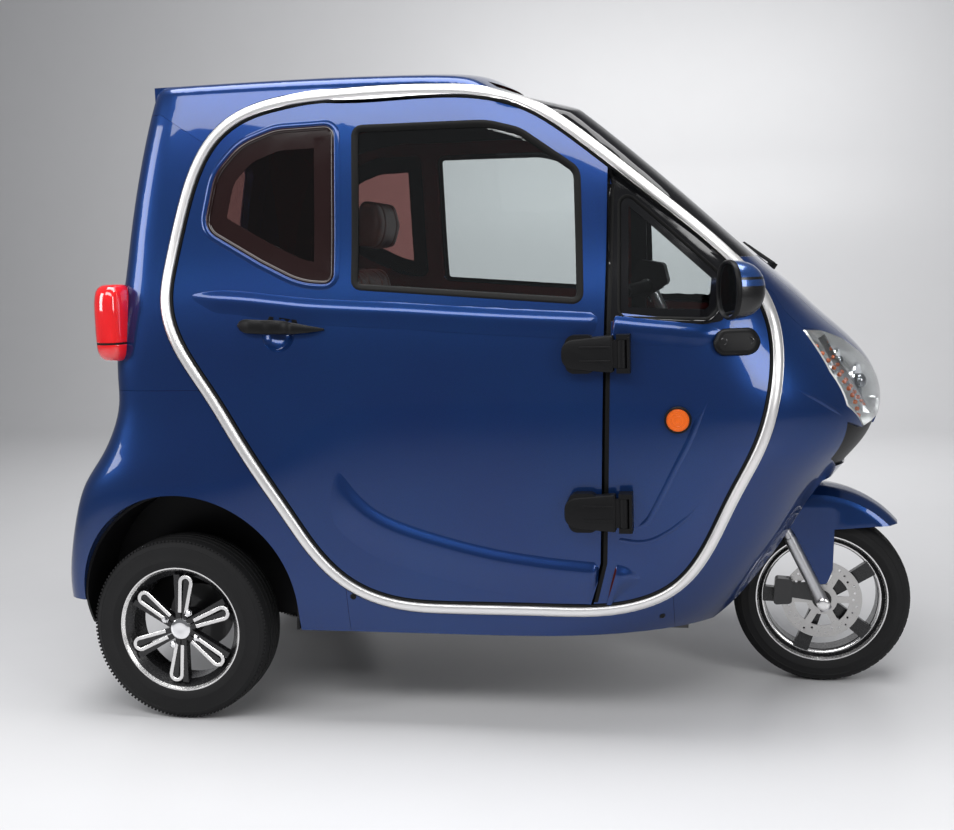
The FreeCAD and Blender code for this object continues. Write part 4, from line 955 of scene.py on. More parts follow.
def slanted_block(radius, y0, y1, slant, length, lift):
    """One tread block on the crown: a slanted bar that follows the curve of the tyre."""
    bm = bmesh.new()
    rows = []
    for row in range(5):
        part = row / 4.0
        y = y0 + (y1 - y0) * part
        drop = 3.2 * (abs(y) / 45.0) ** 2.4
        line = []
        for turn, r in ((-0.5, -2.5), (-0.46, lift), (0.46, lift), (0.5, -2.5)):
            angle = (slant * part + length * turn) / radius
            reach = (radius - drop + r) * MM
            line.append(bm.verts.new((reach * math.sin(angle), y * MM, reach * math.cos(angle))))
        rows.append(line)
    for first, second in zip(rows, rows[1:]):
        for k in range(4):
            bm.faces.new((first[k], first[(k + 1) % 4], second[(k + 1) % 4], second[k]))
    bm.faces.new(rows[0])
    bm.faces.new(list(reversed(rows[-1])))
    return bm


FRONT_R, REAR_R = 240.0, 247.0
make_tyre("front_tyre_rubber", "front_tyre", front_hub, FRONT_R - 2.0, 126.0, 176.0, (-28.0, 0.0, 28.0),
          "front_wheel")
for key, y0, y1, slant, start in (("a", 4.0, 25.0, 14.0, 0.0), ("b", -25.0, -4.0, 14.0, 0.03),
                                  ("c", 31.5, 44.0, 9.0, 0.02), ("d", -44.0, -31.5, 9.0, 0.05)):
    repeat_round("front_tread_" + key, slanted_block(FRONT_R, y0, y1, slant, 23.5, -0.2), front_hub, 52,
                 start, tyre_rubber,
                 "front_wheel")
for side, sign in SIDES.items():
    body = "rear_wheel_" + side
    hub = rear_hub[side]
    make_tyre("rear_tyre_rubber_" + side, "rear_tyre_" + side, hub, REAR_R - 1.0, 135.0, 166.0, (-30.0,
            -10.0, 10.0, 30.0),
              body)
    for key, y0, y1 in (("a", 47.8, 58.0), ("b", -58.0, -47.8)):
        bm = bmesh.new()
        rows = []
        for y, r in ((y0, REAR_R - 5.2), ((y0 + y1) / 2.0, REAR_R - 7.2), (y1, REAR_R - 12.0)):
            reach = r if abs(y) < 53.0 or abs(y) == abs(y0) else r
            line = []
            for turn, lift in ((-3.2, -4.0), (-2.8, 1.0), (2.8, 1.0), (3.2, -4.0)):
                angle = turn / REAR_R
                line.append(bm.verts.new(((reach + lift) * MM * math.sin(angle), y * MM,
                                          (reach + lift) * MM * math.cos(angle))))
            rows.append(line)
        for first, second in zip(rows, rows[1:]):
            for k in range(4):
                bm.faces.new((first[k], first[(k + 1) % 4], second[(k + 1) % 4], second[k]))
        bm.faces.new(rows[0])
        bm.faces.new(list(reversed(rows[-1])))
        repeat_round("rear_shoulder_%s_%s" % (side, key), bm, hub, 140, 0.0, tyre_rubber, body)

# %% [markdown]
# ## Wheel faces
# The rear wheel has six twin spokes with bright edges like paper clips, a thin bright ring at
# the rim, four wheel nuts and a chrome cap. The front wheel is black with a double bright ring.

# %% Wheel faces


def clip_loop(face_y):
    """The bright edge of one twin spoke, as a flat band that runs out, round and back."""
    path = [(44.0, -8.5), (70.0, -10.5), (100.0, -13.0), (128.0, -15.5)]
    for step in range(1, 8):
        turn = math.pi * step / 8.0
        path.append((128.0 + 15.5 * math.sin(turn), -15.5 * math.cos(turn)))
    path += [(x, -y) for x, y in reversed(path[:4])]
    bm = bmesh.new()
    stations = []
    for index, (r, s) in enumerate(path):
        before = path[max(index - 1, 0)]
        after = path[min(index + 1, len(path) - 1)]
        along = Vector((after[1] - before[1], 0.0, after[0] - before[0])).normalized()
        out = Vector((0.0, -1.0, 0.0))
        stations.append((Vector((s * MM, face_y * MM, r * MM)), out.cross(along), out))
    sweep(bm, stations, ((-4.8, -4.0), (-4.8, 1.2), (-3.8, 2.0), (3.8, 2.0), (4.8, 1.2), (4.8, -4.0)))
    return bm


for side, sign in SIDES.items():
    body = "rear_wheel_" + side
    hub = rear_hub[side]
    left = sign > 0
    repeat_round("rear_spoke_edges_" + side, clip_loop(-50.0), hub, 6, 0.16, machined, body,
                 mirrored=left)
    bm = bmesh.new()
    spin(bm, hub, (0.0, sign, 0.0), ((56.8, 165.0), (58.4, 165.6), (58.9, 169.0), (58.4, 172.6),
                                     (56.8, 173.0)), sides=128)
    finish_piece("rear_rim_ring_" + side, bm, machined, body)
    bm = bmesh.new()
    corner = [(8.6 * math.cos(math.radians(60 * k)), 8.6 * math.sin(math.radians(60 * k))) for k in range(6)]
    for low, high, grow in ((-50.0, -46.0, 1.15), (-57.0, -50.0, 1.0)):
        base = [bm.verts.new((x * grow * MM, high * MM, (50.0 + z * grow) * MM)) for x, z in corner]
        top = [bm.verts.new((x * grow * MM, low * MM, (50.0 + z * grow) * MM)) for x, z in corner]
        tip = [bm.verts.new((x * grow * 0.62 * MM, (low - 2.2) * MM, (50.0 + z * grow * 0.62) * MM)) for x,
               z in corner]
        for k in range(6):
            n = (k + 1) % 6
            bm.faces.new((base[k], base[n], top[n], top[k]))
            bm.faces.new((top[k], top[n], tip[n], tip[k]))
        bm.faces.new(base)
        bm.faces.new(list(reversed(tip)))
    repeat_round("rear_nuts_" + side, bm, hub, 4, 0.5, chrome, body, mirrored=left)
    bm = bmesh.new()
    spin(bm, hub, (0.0, sign, 0.0), ((43.5, 0.0), (43.5, 29.5), (50.0, 29.0), (54.0, 27.0), (56.4, 22.0),
                                     (57.2, 15.0),
                                     (56.2, 8.0), (55.8, 0.0)), sides=64)
    finish_piece("rear_cap_" + side, bm, chrome, body)

for key, sign in (("right", -1.0), ("left", 1.0)):
    bm = bmesh.new()
    spin(bm, front_hub, (0.0, sign, 0.0), ((50.8, 174.5), (52.6, 175.2), (53.0, 178.5), (52.4, 182.4),
                                           (50.8, 183.0)),
         sides=128)
    finish_piece("front_rim_ring_" + key, bm, machined, "front_wheel")
    bm = bmesh.new()
    spin(bm, front_hub, (0.0, sign, 0.0), ((33.0, 154.0), (38.0, 155.2), (40.4, 158.0), (40.8, 161.0),
                                           (37.0, 162.0),
                                           (33.0, 162.5)), sides=128)
    finish_piece("front_inner_ring_" + key, bm, machined, "front_wheel")
    bm = bmesh.new()
    spin(bm, front_hub, (0.0, sign, 0.0), ((109.5, 0.0), (109.5, 17.0), (117.0, 17.0), (119.5, 14.0),
                                           (120.5, 9.0),
                                           (120.5, 0.0)), sides=48)
    finish_piece("axle_nut_" + key, bm, machined, "steering")

# %% [markdown]
# ## Headlamps
# Each lamp is a clear lens over a bright silver housing with a chrome reflector bowl, a bright side
# blade and a row of small amber lights along the rear edge. The lens is the outer side of the
# lamp solid, copied and given a thickness; the rest of that solid becomes the housing.

# %% Headlamps


def merged_copy(node):
    bm = bmesh.new()
    bm.from_mesh(nodes[node].data)
    bmesh.ops.remove_doubles(bm, verts=bm.verts, dist=0.00002)
    return bm


def shell_of(bm, keep, thickness):
    """Keeps the faces that pass a test and gives them a thickness inwards."""
    bmesh.ops.delete(bm, geom=[face for face in bm.faces if not keep(face)], context="FACES")
    bmesh.ops.solidify(bm, geom=bm.faces[:], thickness=thickness)
    return bm


def outer_side(bm, limit=30.0):
    """The faces of the outer surface: all that join the most forward face over smooth edges."""
    bm.faces.ensure_lookup_table()
    chosen = set()
    for sign in (-1.0, 1.0):
        away = Vector((0.8, 0.6 * sign, 0.0))
        half = [face for face in bm.faces if face.calc_center_median().y * sign > 0]
        seed = max(half, key=lambda face: (face.normal.dot(away) > 0.8) * face.calc_area())
        queue = [seed]
        chosen.add(seed)
        while queue:
            face = queue.pop()
            for edge in face.edges:
                for other in edge.link_faces:
                    if other not in chosen and face.normal.angle(other.normal, 3.0) < math.radians(limit):
                        chosen.add(other)
                        queue.append(other)
    return chosen


def edge_loop(bm, faces, sign):
    """The longest closed border of a set of faces on one side of the car, as points in order."""
    ahead = {}
    for face in faces:
        for loop in face.loops:
            others = [other for other in loop.edge.link_faces if other in faces]
            if len(others) == 1 and loop.vert.co.y * sign > 0:
                ahead[loop.vert] = loop.link_loop_next.vert
    longest = []
    while ahead:
        vert = next(iter(ahead))
        run = []
        while vert in ahead:
            run.append(vert.co.copy())
            vert = ahead.pop(vert)
        if len(run) > len(longest):
            longest = run
    return longest


def resampled(points, count):
    loop = points + [points[0]]
    ends = [0.0]
    for first, second in zip(loop, loop[1:]):
        ends.append(ends[-1] + (second - first).length)
    result = []
    at = 0
    for k in range(count):
        reach = ends[-1] * k / count
        while ends[at + 1] < reach:
            at += 1
        part = (reach - ends[at]) / max(ends[at + 1] - ends[at], 1e-9)
        result.append(loop[at].lerp(loop[at + 1], part))
    return result


bm = merged_copy("headlamps")
chosen = outer_side(bm)
lamp_edge = resampled(edge_loop(bm, chosen, -1.0), 160)
lens_bm = shell_of(bm, lambda face: face in chosen, 0.003)
lens = finish_piece("headlamp_lenses", lens_bm, lamp_clear, "body", sharp=40.0)
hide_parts("headlamps")
bm = merged_copy("headlamps")
bmesh.ops.delete(bm, geom=list(outer_side(bm)), context="FACES")
finish_piece("headlamp_housings", bm, lamp_silver, "body", sharp=40.0)
lens_tree = BVHTree.FromPolygons([vert.co.copy() for vert in lens.data.vertices],
                                 [list(face.vertices) for face in lens.data.polygons])
top_edge, low_edge = [], []
for k, point in enumerate(lamp_edge):
    along = lamp_edge[(k + 1) % 160] - lamp_edge[k - 1]
    (top_edge if abs(along.z) < 0.75 * along.length and point.z > 0.86 else low_edge).append(k)


def edge_tubes(name, keys, radius, material):
    """Tubes of a given radius along the runs of neighbouring points of the lamp's edge."""
    first = next((k for k in keys if (k - 1) % 160 not in keys), keys[0])
    run = [first]
    while (run[-1] + 1) % 160 in keys and (run[-1] + 1) % 160 != first:
        run.append((run[-1] + 1) % 160)
    bm = bmesh.new()
    tube(bm, [lamp_edge[k] for k in run], radius * MM, sides=8)
    right = finish_piece(name + "_right", bm, material, "body")
    mirror_piece(right, name + "_left", "body")


edge_tubes("lamp_top_seam", top_edge, 2.6, gloss_black)
edge_tubes("lamp_rear_edge", low_edge, 1.9, chrome)


def behind_lens(y, z, depth):
    """A point inside the right lamp: at this y and z, this far behind the lens from the front."""
    hit = lens_tree.ray_cast(place(2100.0, y, z), Vector((-1.0, 0.0, 0.0)), 1.0)
    point = hit[0] if hit[0] is not None else place(1700.0, y, z)
    return point + Vector((-depth * MM, 0.0, 0.0))


def lamp_pair(name, bm, material, sharp=35.0):
    right = finish_piece(name + "_right", bm, material, "body", sharp)
    mirror_piece(right, name + "_left", "body")


bm = bmesh.new()
for y, z, reach, radius in ((-268.0, 868.0, 34.0, 44.0), (-330.0, 925.0, 34.0, 30.0)):
    bowl = ((-26.0, 0.0), (-24.0, 0.4 * radius), (-14.0, 0.78 * radius), (0.0, radius), (2.0, radius + 2.0),
            (-2.0, radius + 3.0),
            (-30.0, 0.5 * radius), (-32.0, 0.0))
    spin(bm, behind_lens(y, z, reach), (0.94, -0.30, 0.05), bowl, sides=56)
lamp_pair("lamp_bowls", bm, chrome)
bm = bmesh.new()
for y, z, reach, radius in ((-268.0, 868.0, 34.0, 19.0), (-330.0, 925.0, 34.0, 12.0)):
    dome = [(-14.0, 0.0), (-14.0, radius), (0.0, radius)]
    dome += [(radius * 0.8 * math.sin(math.radians(t)),
              radius * math.cos(math.radians(t))) for t in range(15, 90, 15)]
    dome += [(radius * 0.8, 0.0)]
    spin(bm, behind_lens(y, z, reach - 6.0), (0.94, -0.30, 0.05), dome, sides=48)
lamp_pair("lamp_projectors", bm, film)

blade_path = [(-372.0, 985.0), (-384.0, 935.0), (-374.0, 885.0), (-350.0, 835.0), (-312.0, 795.0)]
bm = bmesh.new()
stations = []
for index, (y, z) in enumerate(blade_path):
    point = behind_lens(y, z, 12.0)
    ahead = behind_lens(*blade_path[min(index + 1, 4)], 12.0) - behind_lens(*blade_path[max(index - 1, 0)],
            12.0)
    out = Vector((0.80, -0.60, 0.0))
    across = out.cross(ahead.normalized()).normalized()
    stations.append((point, across, across.cross(ahead.normalized()).normalized()))
sweep(bm, stations, ((-1.5, -20.0), (-1.5, 2.0), (1.5, 2.0), (1.5, -20.0)))
lamp_pair("lamp_blades", bm, chrome)
bm = bmesh.new()
for k in range(11):
    part = k / 10.0
    y = -400.0 + 66.0 * part ** 1.5
    z = 966.0 - 178.0 * part
    dome = ((-4.0, 0.0), (-4.0, 5.6), (0.0, 5.6), (2.4, 4.2), (3.6, 2.0), (4.0, 0.0))
    spin(bm, behind_lens(y, z, 12.0), (0.70, -0.70, 0.0), dome, sides=18)
lamp_pair("lamp_lights", bm, lamp_amber)

# %% [markdown]
# ## Mirrors
# Each mirror stands on an oval pad with two screws. Its head is taller than it is wide, with a
# painted upper shell, a black line and a black lower half, so the finish follows height. A
# rounded rim and a mirror glass close the side that looks back.

# %% Mirror finish


def mirror_finish(line_z):
    material = new_finish("mirror shell", (0.010, 0.046, 0.170), metallic=0.5, rough=(0.22, 0.3),
                          Coat_Weight=1.0)
    tree = material.node_tree
    coords = next(node for node in tree.nodes if node.type == "TEX_COORD")
    parts = tree.nodes.new("ShaderNodeSeparateXYZ")
    tree.links.new(coords.outputs["Object"], parts.inputs[0])
    height = parts.outputs["Z"]
    upper = math_node(tree, "GREATER_THAN", height, line_z)
    line_low = math_node(tree, "GREATER_THAN", height, line_z + 0.014)
    line_high = math_node(tree, "LESS_THAN", height, line_z + 0.020)
    line = math_node(tree, "MULTIPLY", line_low, line_high)
    blue = math_node(tree, "SUBTRACT", upper, line)
    mix = tree.nodes.new("ShaderNodeMix")
    mix.data_type = "RGBA"
    tree.links.new(blue, mix.inputs[0])
    mix.inputs[6].default_value = (0.006, 0.006, 0.0065, 1.0)
    mix.inputs[7].default_value = (0.014, 0.060, 0.220, 1.0)
    tree.links.new(mix.outputs[2], tree.nodes["Principled BSDF"].inputs["Base Color"])
    tree.links.new(math_node(tree, "MULTIPLY", blue, 0.6), tree.nodes["Principled BSDF"].inputs["Metallic"])
    tree.links.new(blue, tree.nodes["Principled BSDF"].inputs["Coat Weight"])
    return material


# %% Mirror head and pad
MIRROR_TURN = math.radians(24.0)
mirror_pivot = place(1474.0, -676.0, 1117.0)
HEAD_WIDE = 57.0
HEAD_TALL = 65.0


def mirror_point(ahead, across, up):
    """A point of the right mirror's head: ahead of, across and above its middle, in millimetres."""
    turned = Vector((ahead * math.cos(MIRROR_TURN) - across * math.sin(MIRROR_TURN),
                     ahead * math.sin(MIRROR_TURN) + across * math.cos(MIRROR_TURN), up))
    return mirror_pivot + turned * MM


def head_ring(bm, ahead, grow, steps=64):
    ring = []
    for k in range(steps):
        turn = math.tau * k / steps
        wide = HEAD_WIDE * grow * math.copysign(abs(math.cos(turn)) ** 0.86, math.cos(turn))
        tall = HEAD_TALL * grow * math.copysign(abs(math.sin(turn)) ** 0.86, math.sin(turn))
        ring.append(bm.verts.new(mirror_point(ahead, wide, tall)))
    return ring


def join_rings(bm, rings, ends=True):
    for first, second in zip(rings, rings[1:]):
        size = len(first)
        for k in range(size):
            bm.faces.new((first[k], first[(k + 1) % size], second[(k + 1) % size], second[k]))
    if ends:
        bm.faces.new(rings[0])
        bm.faces.new(list(reversed(rings[-1])))


def both_sides(name, bm, material, sharp=35.0):
    """Finishes a right hand piece of the body together with its mirror image, as one mesh."""
    bmesh.ops.recalc_face_normals(bm, faces=bm.faces)
    twin = bmesh.ops.duplicate(bm, geom=bm.verts[:] + bm.edges[:] + bm.faces[:])
    faces = [item for item in twin["geom"] if isinstance(item, bmesh.types.BMFace)]
    for item in twin["geom"]:
        if isinstance(item, bmesh.types.BMVert):
            item.co.y = -item.co.y
    bmesh.ops.reverse_faces(bm, faces=faces)
    return finish_piece(name, bm, material, "body", sharp)


HEAD = ((-34.0, 0.99), (-30.0, 1.0), (-20.0, 0.995), (-8.0, 0.97), (4.0, 0.92), (15.0, 0.84), (25.0, 0.72),
        (33.0, 0.57),
        (39.0, 0.40), (42.5, 0.22), (44.0, 0.06))
bm = bmesh.new()
join_rings(bm, [head_ring(bm, ahead, grow) for ahead, grow in HEAD])
mirror_shell = both_sides("mirror_shells", bm, mirror_finish(1125 * MM))
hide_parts("mirrors")
bm = bmesh.new()
rings = [head_ring(bm, ahead, grow) for ahead, grow in ((-33.0, 1.01), (-36.0, 1.03), (-41.0, 1.03),
                                                        (-44.0, 1.0),
                                                        (-44.5, 0.95), (-42.0, 0.91), (-35.0, 0.90))]
join_rings(bm, rings + rings[:1], ends=False)
both_sides("mirror_rims", bm, black_plastic)
bm = bmesh.new()
join_rings(bm, [head_ring(bm, ahead, grow) for ahead, grow in ((-34.5, 0.94), (-39.0, 0.93), (-39.6, 0.60),
        (-39.8, 0.05))])
both_sides("mirror_glasses", bm, film)
bm = bmesh.new()
tube(bm, [place(1457, -545, 992), place(1459, -585, 996), place(1461, -622, 1008), place(1463, -648, 1022),
          place(1465, -664, 1044), place(1466, -670, 1070)], 10.5 * MM, sides=20)
both_sides("mirror_stalks", bm, black_plastic)
bm = bmesh.new()
pad_loop = evenly(rounded_corners(((1406, 958), (1508, 958), (1514, 992), (1496, 1022), (1418, 1022), (1402,
        992)),
                                  (30, 30, 24, 26, 26, 24)), 96)
rings = []
for lift, pull in ((-8.0, 0.0), (7.0, 0.0), (13.0, 2.2), (16.5, 7.0), (17.5, 13.0)):
    loop = moved_in(pad_loop, pull) if pull else pad_loop
    rings.append([bm.verts.new(point + Vector((0.0, -lift * MM, 0.0)))
                  for point, normal in lay_path(side_skin, loop)])
join_rings(bm, rings)
both_sides("mirror_pads", bm, black_plastic, sharp=50.0)
bm = bmesh.new()
for x in (1427.0, 1489.0):
    spot = touch(side_skin, x, 992.0)
    base_point = spot[0] if spot else place(x, -540.0, 992.0)
    spin(bm, base_point + Vector((0.0, -17.0 * MM, 0.0)), (0.0, -1.0, 0.0),
         ((-2.0, 0.0), (-2.0, 8.6), (0.8, 8.6), (1.4, 7.2), (-0.4, 5.6), (-0.8, 0.0)), sides=28)
both_sides("mirror_screws", bm, black_steel)

# %% [markdown]
# ## Pressed lines of the body
# Three lines are pressed into the panels: the belt line under the windows, the long curved
# ledge low on the door, and the edge of a shallow recess in front. Each is a low ridge in body
# colour whose edges run out under the skin, so only the raised line shows.

# %% Pressed lines


skin_all = [(ray_tree("door_right", "side_panels", "sills", "rear_fenders", "front_cowl", "rear_body",
                      "hood"), 0.0)]


def ridge(name, path, profile, body_pair, taper=(0.2, 0.2), steps=60, skin=None):
    """A low ridge along an open side view path; its height and width run out at both ends."""
    points = np.array(path, dtype=float)
    lengths = np.concatenate([[0.0], np.cumsum(np.linalg.norm(np.diff(points, axis=0), axis=1))])
    line = []
    for step in range(steps + 1):
        at = lengths[-1] * step / steps
        line.append((float(np.interp(at, lengths, points[:, 0])),
                     float(np.interp(at, lengths, points[:, 1]))))
    for pass_index in range(12):
        line = [line[0]] + [((line[k - 1][0] + 2 * line[k][0] + line[k + 1][0]) / 4,
                             (line[k - 1][1] + 2 * line[k][1] + line[k + 1][1]) / 4)
                            for k in range(1, len(line) - 1)] + [line[-1]]
    laid = lay_path(skin or side_skin, line, closed=False)
    stations = stations_along(laid, closed=False)
    bm = bmesh.new()
    rings = []
    for index, (point, across, out) in enumerate(stations):
        part = index / steps
        size = min(1.0, part / taper[0], (1.0 - part) / taper[1])
        size = max(0.04, size * size * (3.0 - 2.0 * size))
        if across.z < 0:
            across = -across
        ring = []
        for u, v in profile:
            height = v * size - 0.5
            ring.append(bm.verts.new(point + across * u * (0.35 + 0.65 * size) * MM + out * height * MM))
        rings.append(ring)
    count = len(profile)
    for first, second in zip(rings, rings[1:]):
        for k in range(count):
            bm.faces.new((first[k], first[(k + 1) % count], second[(k + 1) % count], second[k]))
    bm.faces.new(rings[0])
    bm.faces.new(list(reversed(rings[-1])))
    right = finish_piece(name + "_right", bm, body_paint, body_pair[0], sharp=60.0)
    mirror_piece(right, name + "_left", body_pair[1])


LEDGE = ((20.0, -0.4), (16.0, 0.4), (9.0, 4.2), (2.0, 8.2), (-5.0, 11.6), (-10.0, 12.8), (-18.0, 13.0),
         (-34.0, 11.0),
         (-56.0, 6.4), (-78.0, 2.2), (-92.0, 0.2), (-98.0, -0.4), (-90.0, -3.5), (16.0, -3.5))
ridge("door_ledge", ((470, 690), (494, 636), (522, 590), (590, 548), (674, 518), (780, 488), (876, 466),
                     (1000, 448),
                     (1122, 436)), LEDGE, DOORS, taper=(0.16, 0.012))
ridge("front_ledge", ((1160, 432), (1184, 426), (1206, 416), (1232, 402)), LEDGE, ("body", "body"),
      taper=(0.04, 0.85),
      steps=24)
BELT = ((20.0, -0.4), (15.0, 0.4), (10.0, 1.8), (5.0, 3.6), (0.0, 5.2), (-5.0, 6.2), (-10.0, 6.6), (-16.0,
        6.2),
        (-24.0, 4.6), (-34.0, 2.2), (-44.0, 0.4), (-50.0, -0.4), (-40.0, -3.0), (16.0, -3.0))
ridge("door_belt", ((72, 1134), (200, 1128), (303, 1116), (384, 1104), (643, 1087), (894, 1067),
                    (1132, 1052)), BELT,
      DOORS, taper=(0.1, 0.012))
ridge("front_belt", ((1168, 1047), (1255, 1036), (1372, 1022), (1440, 1010)), BELT, ("body", "body"),
      taper=(0.02, 0.25))
CREASE = ((9.0, -0.4), (5.0, 0.9), (1.0, 2.6), (-1.0, 2.6), (-5.0, 0.9), (-9.0, -0.4), (-6.0, -2.6), (6.0,
        -2.6))
ridge("front_crease", ((1172, 511), (1187, 508), (1223, 502), (1259, 509), (1301, 533), (1344, 568),
                       (1385, 620)),
      CREASE, ("body", "body"), taper=(0.02, 0.4))
FACET = ((10.0, -0.4), (7.0, 1.2), (3.0, 2.8), (0.0, 3.2), (-4.0, 2.2), (-7.0, 1.0), (-10.0, -0.4), (-6.0,
        -2.6),
         (6.0, -2.6))
ridge("front_facet", ((1212, 541), (1226, 538), (1244, 555), (1274, 611), (1310, 686), (1347, 759),
                      (1371, 819),
                      (1405, 880)), FACET, ("body", "body"), taper=(0.08, 0.3))
ridge("cowl_crease", ((1585, 874), (1625, 858), (1659, 836), (1691, 813), (1722, 786)), CREASE, ("body",
        "body"),
      taper=(0.35, 0.35), skin=skin_all, steps=40)

# %% [markdown]
# ## Door handles
# The pull handle is a black bar, thickest in the middle, whose tapered ends stand on the door.

# %% Door handles


def oval_loft(bm, rows, sides=20):
    """Rows of (centre, half height, half depth) along X, joined into a closed rounded bar."""
    rings = []
    for centre, tall, deep in rows:
        ring = []
        for k in range(sides):
            turn = math.tau * k / sides
            ring.append(bm.verts.new(centre + Vector((0.0, deep * MM * math.cos(turn), tall * MM * math.sin(turn)))))
        rings.append(ring)
    for first, second in zip(rings, rings[1:]):
        for k in range(sides):
            bm.faces.new((first[k], first[(k + 1) % sides], second[(k + 1) % sides], second[k]))
    bm.faces.new(rings[0])
    bm.faces.new(list(reversed(rings[-1])))


def handle_size(part):
    """How full the bar is along its length: round at the rear end, drawn out to a point in front."""
    rear = math.sqrt(1.0 - (1.0 - min(1.0, part / 0.14)) ** 2)
    front = 1.0 - 0.86 * (max(0.0, part - 0.42) / 0.58) ** 1.7
    return max(0.12, min(rear, front))


def make_handle():
    bm = bmesh.new()
    rows = []
    for k in range(33):
        part = k / 32.0
        x = 218.0 + 230.0 * part
        z = 1054.0 - 14.0 * part
        full = handle_size(part)
        skin = touch(side_skin, x, z)[0]
        raised = 15.5 * min(1.0, part / 0.16, (1.0 - part) / 0.16)
        rows.append((skin + Vector((0.0, -(raised + 3.0) * MM, 0.0)), 18.0 * full, 1.6 + 5.0 * full))
    oval_loft(bm, rows)
    return finish_piece("handle_bar_right", bm, black_plastic, "door_right", sharp=50.0)


handle = make_handle()
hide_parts("door_handle_right")
handle = mirror_piece(handle, "handle_bar_left", "door_left")
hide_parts("door_handle_left")

# %% [markdown]
# ## Round markers, screws and lamp ribs
# The side marker sits in a black ring, and fine raised amber rings run round its face. Small
# screws hold the sills.

# %% Markers and screws


def on_body(x, z):
    return touch(skin_all, x, z)


point, normal = on_body(1319.0, 808.0)
marker_face = ray_tree("side_markers")
hit = marker_face.ray_cast(place(1319.0, -900.0, 808.0), Vector((0.0, 1.0, 0.0)), 0.8)
centre = Vector((point.x, hit[0].y if hit[0] is not None else point.y, point.z))
bm = bmesh.new()
spin(bm, centre, (0.0, -1.0, 0.0), ((-9.0, 27.0), (1.0, 27.0), (2.8, 28.2), (3.0, 30.8), (1.6, 32.2),
                                    (-9.0, 32.5)), sides=64)
ring_piece = finish_piece("marker_ring_right", bm, black_plastic, "body")
mirror_piece(ring_piece, "marker_ring_left", "body")
bm = bmesh.new()
for radius in (8.0, 16.0, 23.0):
    spin(bm, centre, (0.0, -1.0, 0.0), ((-2.0, radius - 1.6), (0.9, radius - 0.8), (0.9, radius + 0.8),
                                        (-2.0, radius + 1.6)),
         sides=56)
marker_ribs = finish_piece("marker_ribs_right", bm, lamp_amber, "body")
mirror_piece(marker_ribs, "marker_ribs_left", "body")
bm = bmesh.new()
for x, z in ((487.0, 350.0), (1271.0, 294.0), (60.0, 596.0)):
    spot = on_body(x, z)
    if spot is None:
        continue
    spin(bm, spot[0], spot[1], ((-4.0, 0.0), (-4.0, 8.0), (0.8, 8.0), (2.6, 6.0), (3.0, 3.6), (1.4, 3.0),
                                (1.2, 0.0)), sides=28)
screws = finish_piece("body_screws_right", bm, black_plastic, "body")
mirror_piece(screws, "body_screws_left", "body")

# %% [markdown]
# ## Tail lamps
# Each tail lamp wraps round a rear corner as a tall rounded block: one outline seen from above,
# repeated at many heights and drawn in near the ends. A groove crosses it low down, and a black
# band laid in it is painted shade.

# %% Tail lamps
LAMP_PLAN = smooth_loop(((-94, -520), (-97, -562), (-110, -585), (-136, -587), (-164, -573), (-181, -540),
                         (-187, -490),
                         (-184, -448), (-166, -436), (-140, -446), (-118, -470), (-100, -495)), 72)
LAMP_MIDDLE = (-132.0, -515.0)


def lamp_ring(bm, z, grow):
    slant = 0.10 * max(0.0, z - 1120.0)
    ring = []
    for x, y in LAMP_PLAN:
        reach = grow - (0.004 * slant if x < LAMP_MIDDLE[0] else 0.0)
        ring.append(bm.verts.new(place(LAMP_MIDDLE[0] + (x - LAMP_MIDDLE[0]) * reach,
                                       LAMP_MIDDLE[1] + (y - LAMP_MIDDLE[1]) * grow, z)))
    return ring


LAMP_ROWS = ((967, 0.42), (969, 0.62), (974, 0.78), (982, 0.88), (993, 0.95), (1006, 0.985), (1010, 0.985),
             (1012, 0.955), (1016, 0.955), (1018, 0.99), (1040, 1.0), (1090, 1.0), (1118, 0.985), (1136,
                     0.95),
             (1148, 0.90), (1157, 0.81), (1163, 0.68), (1166, 0.50))
bm = bmesh.new()
join_rings(bm, [lamp_ring(bm, z, grow) for z, grow in LAMP_ROWS])
tail = both_sides("tail_lamp_lenses", bm, lamp_red, sharp=28.0)
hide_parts("tail_lamps")
# Painted shade: a black band laid in the lens's groove, standing for the shade in it.
bm = bmesh.new()
join_rings(bm, [lamp_ring(bm, z, grow) for z, grow in ((1011.0, 0.94), (1011.4, 0.972), (1016.6, 0.972),
                                                       (1017.0, 0.94))])
both_sides("tail_lamp_groove_shade", bm, seal_rubber)

# %% [markdown]
# ## Cushions
# Seats are padded covers. Each starts as a rounded block a little smaller than its solid, is
# remeshed evenly, and is blown up by a short cloth simulation with inside pressure, with its
# movement capped. Sewn channels are then pressed in as soft grooves.

# %% Cushions


def side_form(outline, radius, half, inset):
    """A side view outline with rounded corners, pushed out to both sides with a rounded edge."""
    path = evenly(rounded_corners(outline, radius, 8), 90)
    bm = bmesh.new()
    rings = []
    for part in (-1.0, -0.985, -0.94, -0.86, 0.86, 0.94, 0.985, 1.0):
        bend = max(0.0, (abs(part) - 0.86) / 0.14)
        pull = inset * (1.0 - math.sqrt(max(0.0, 1.0 - bend ** 2)))
        loop = moved_in(path, pull) if pull > 0 else path
        rings.append([bm.verts.new(place(x, half * part, z)) for x, z in loop])
    size = len(path)
    for first, second in zip(rings, rings[1:]):
        for k in range(size):
            bm.faces.new((first[k], first[(k + 1) % size], second[(k + 1) % size], second[k]))
    bm.faces.new(rings[0])
    bm.faces.new(list(reversed(rings[-1])))
    bmesh.ops.recalc_face_normals(bm, faces=bm.faces)
    return bm


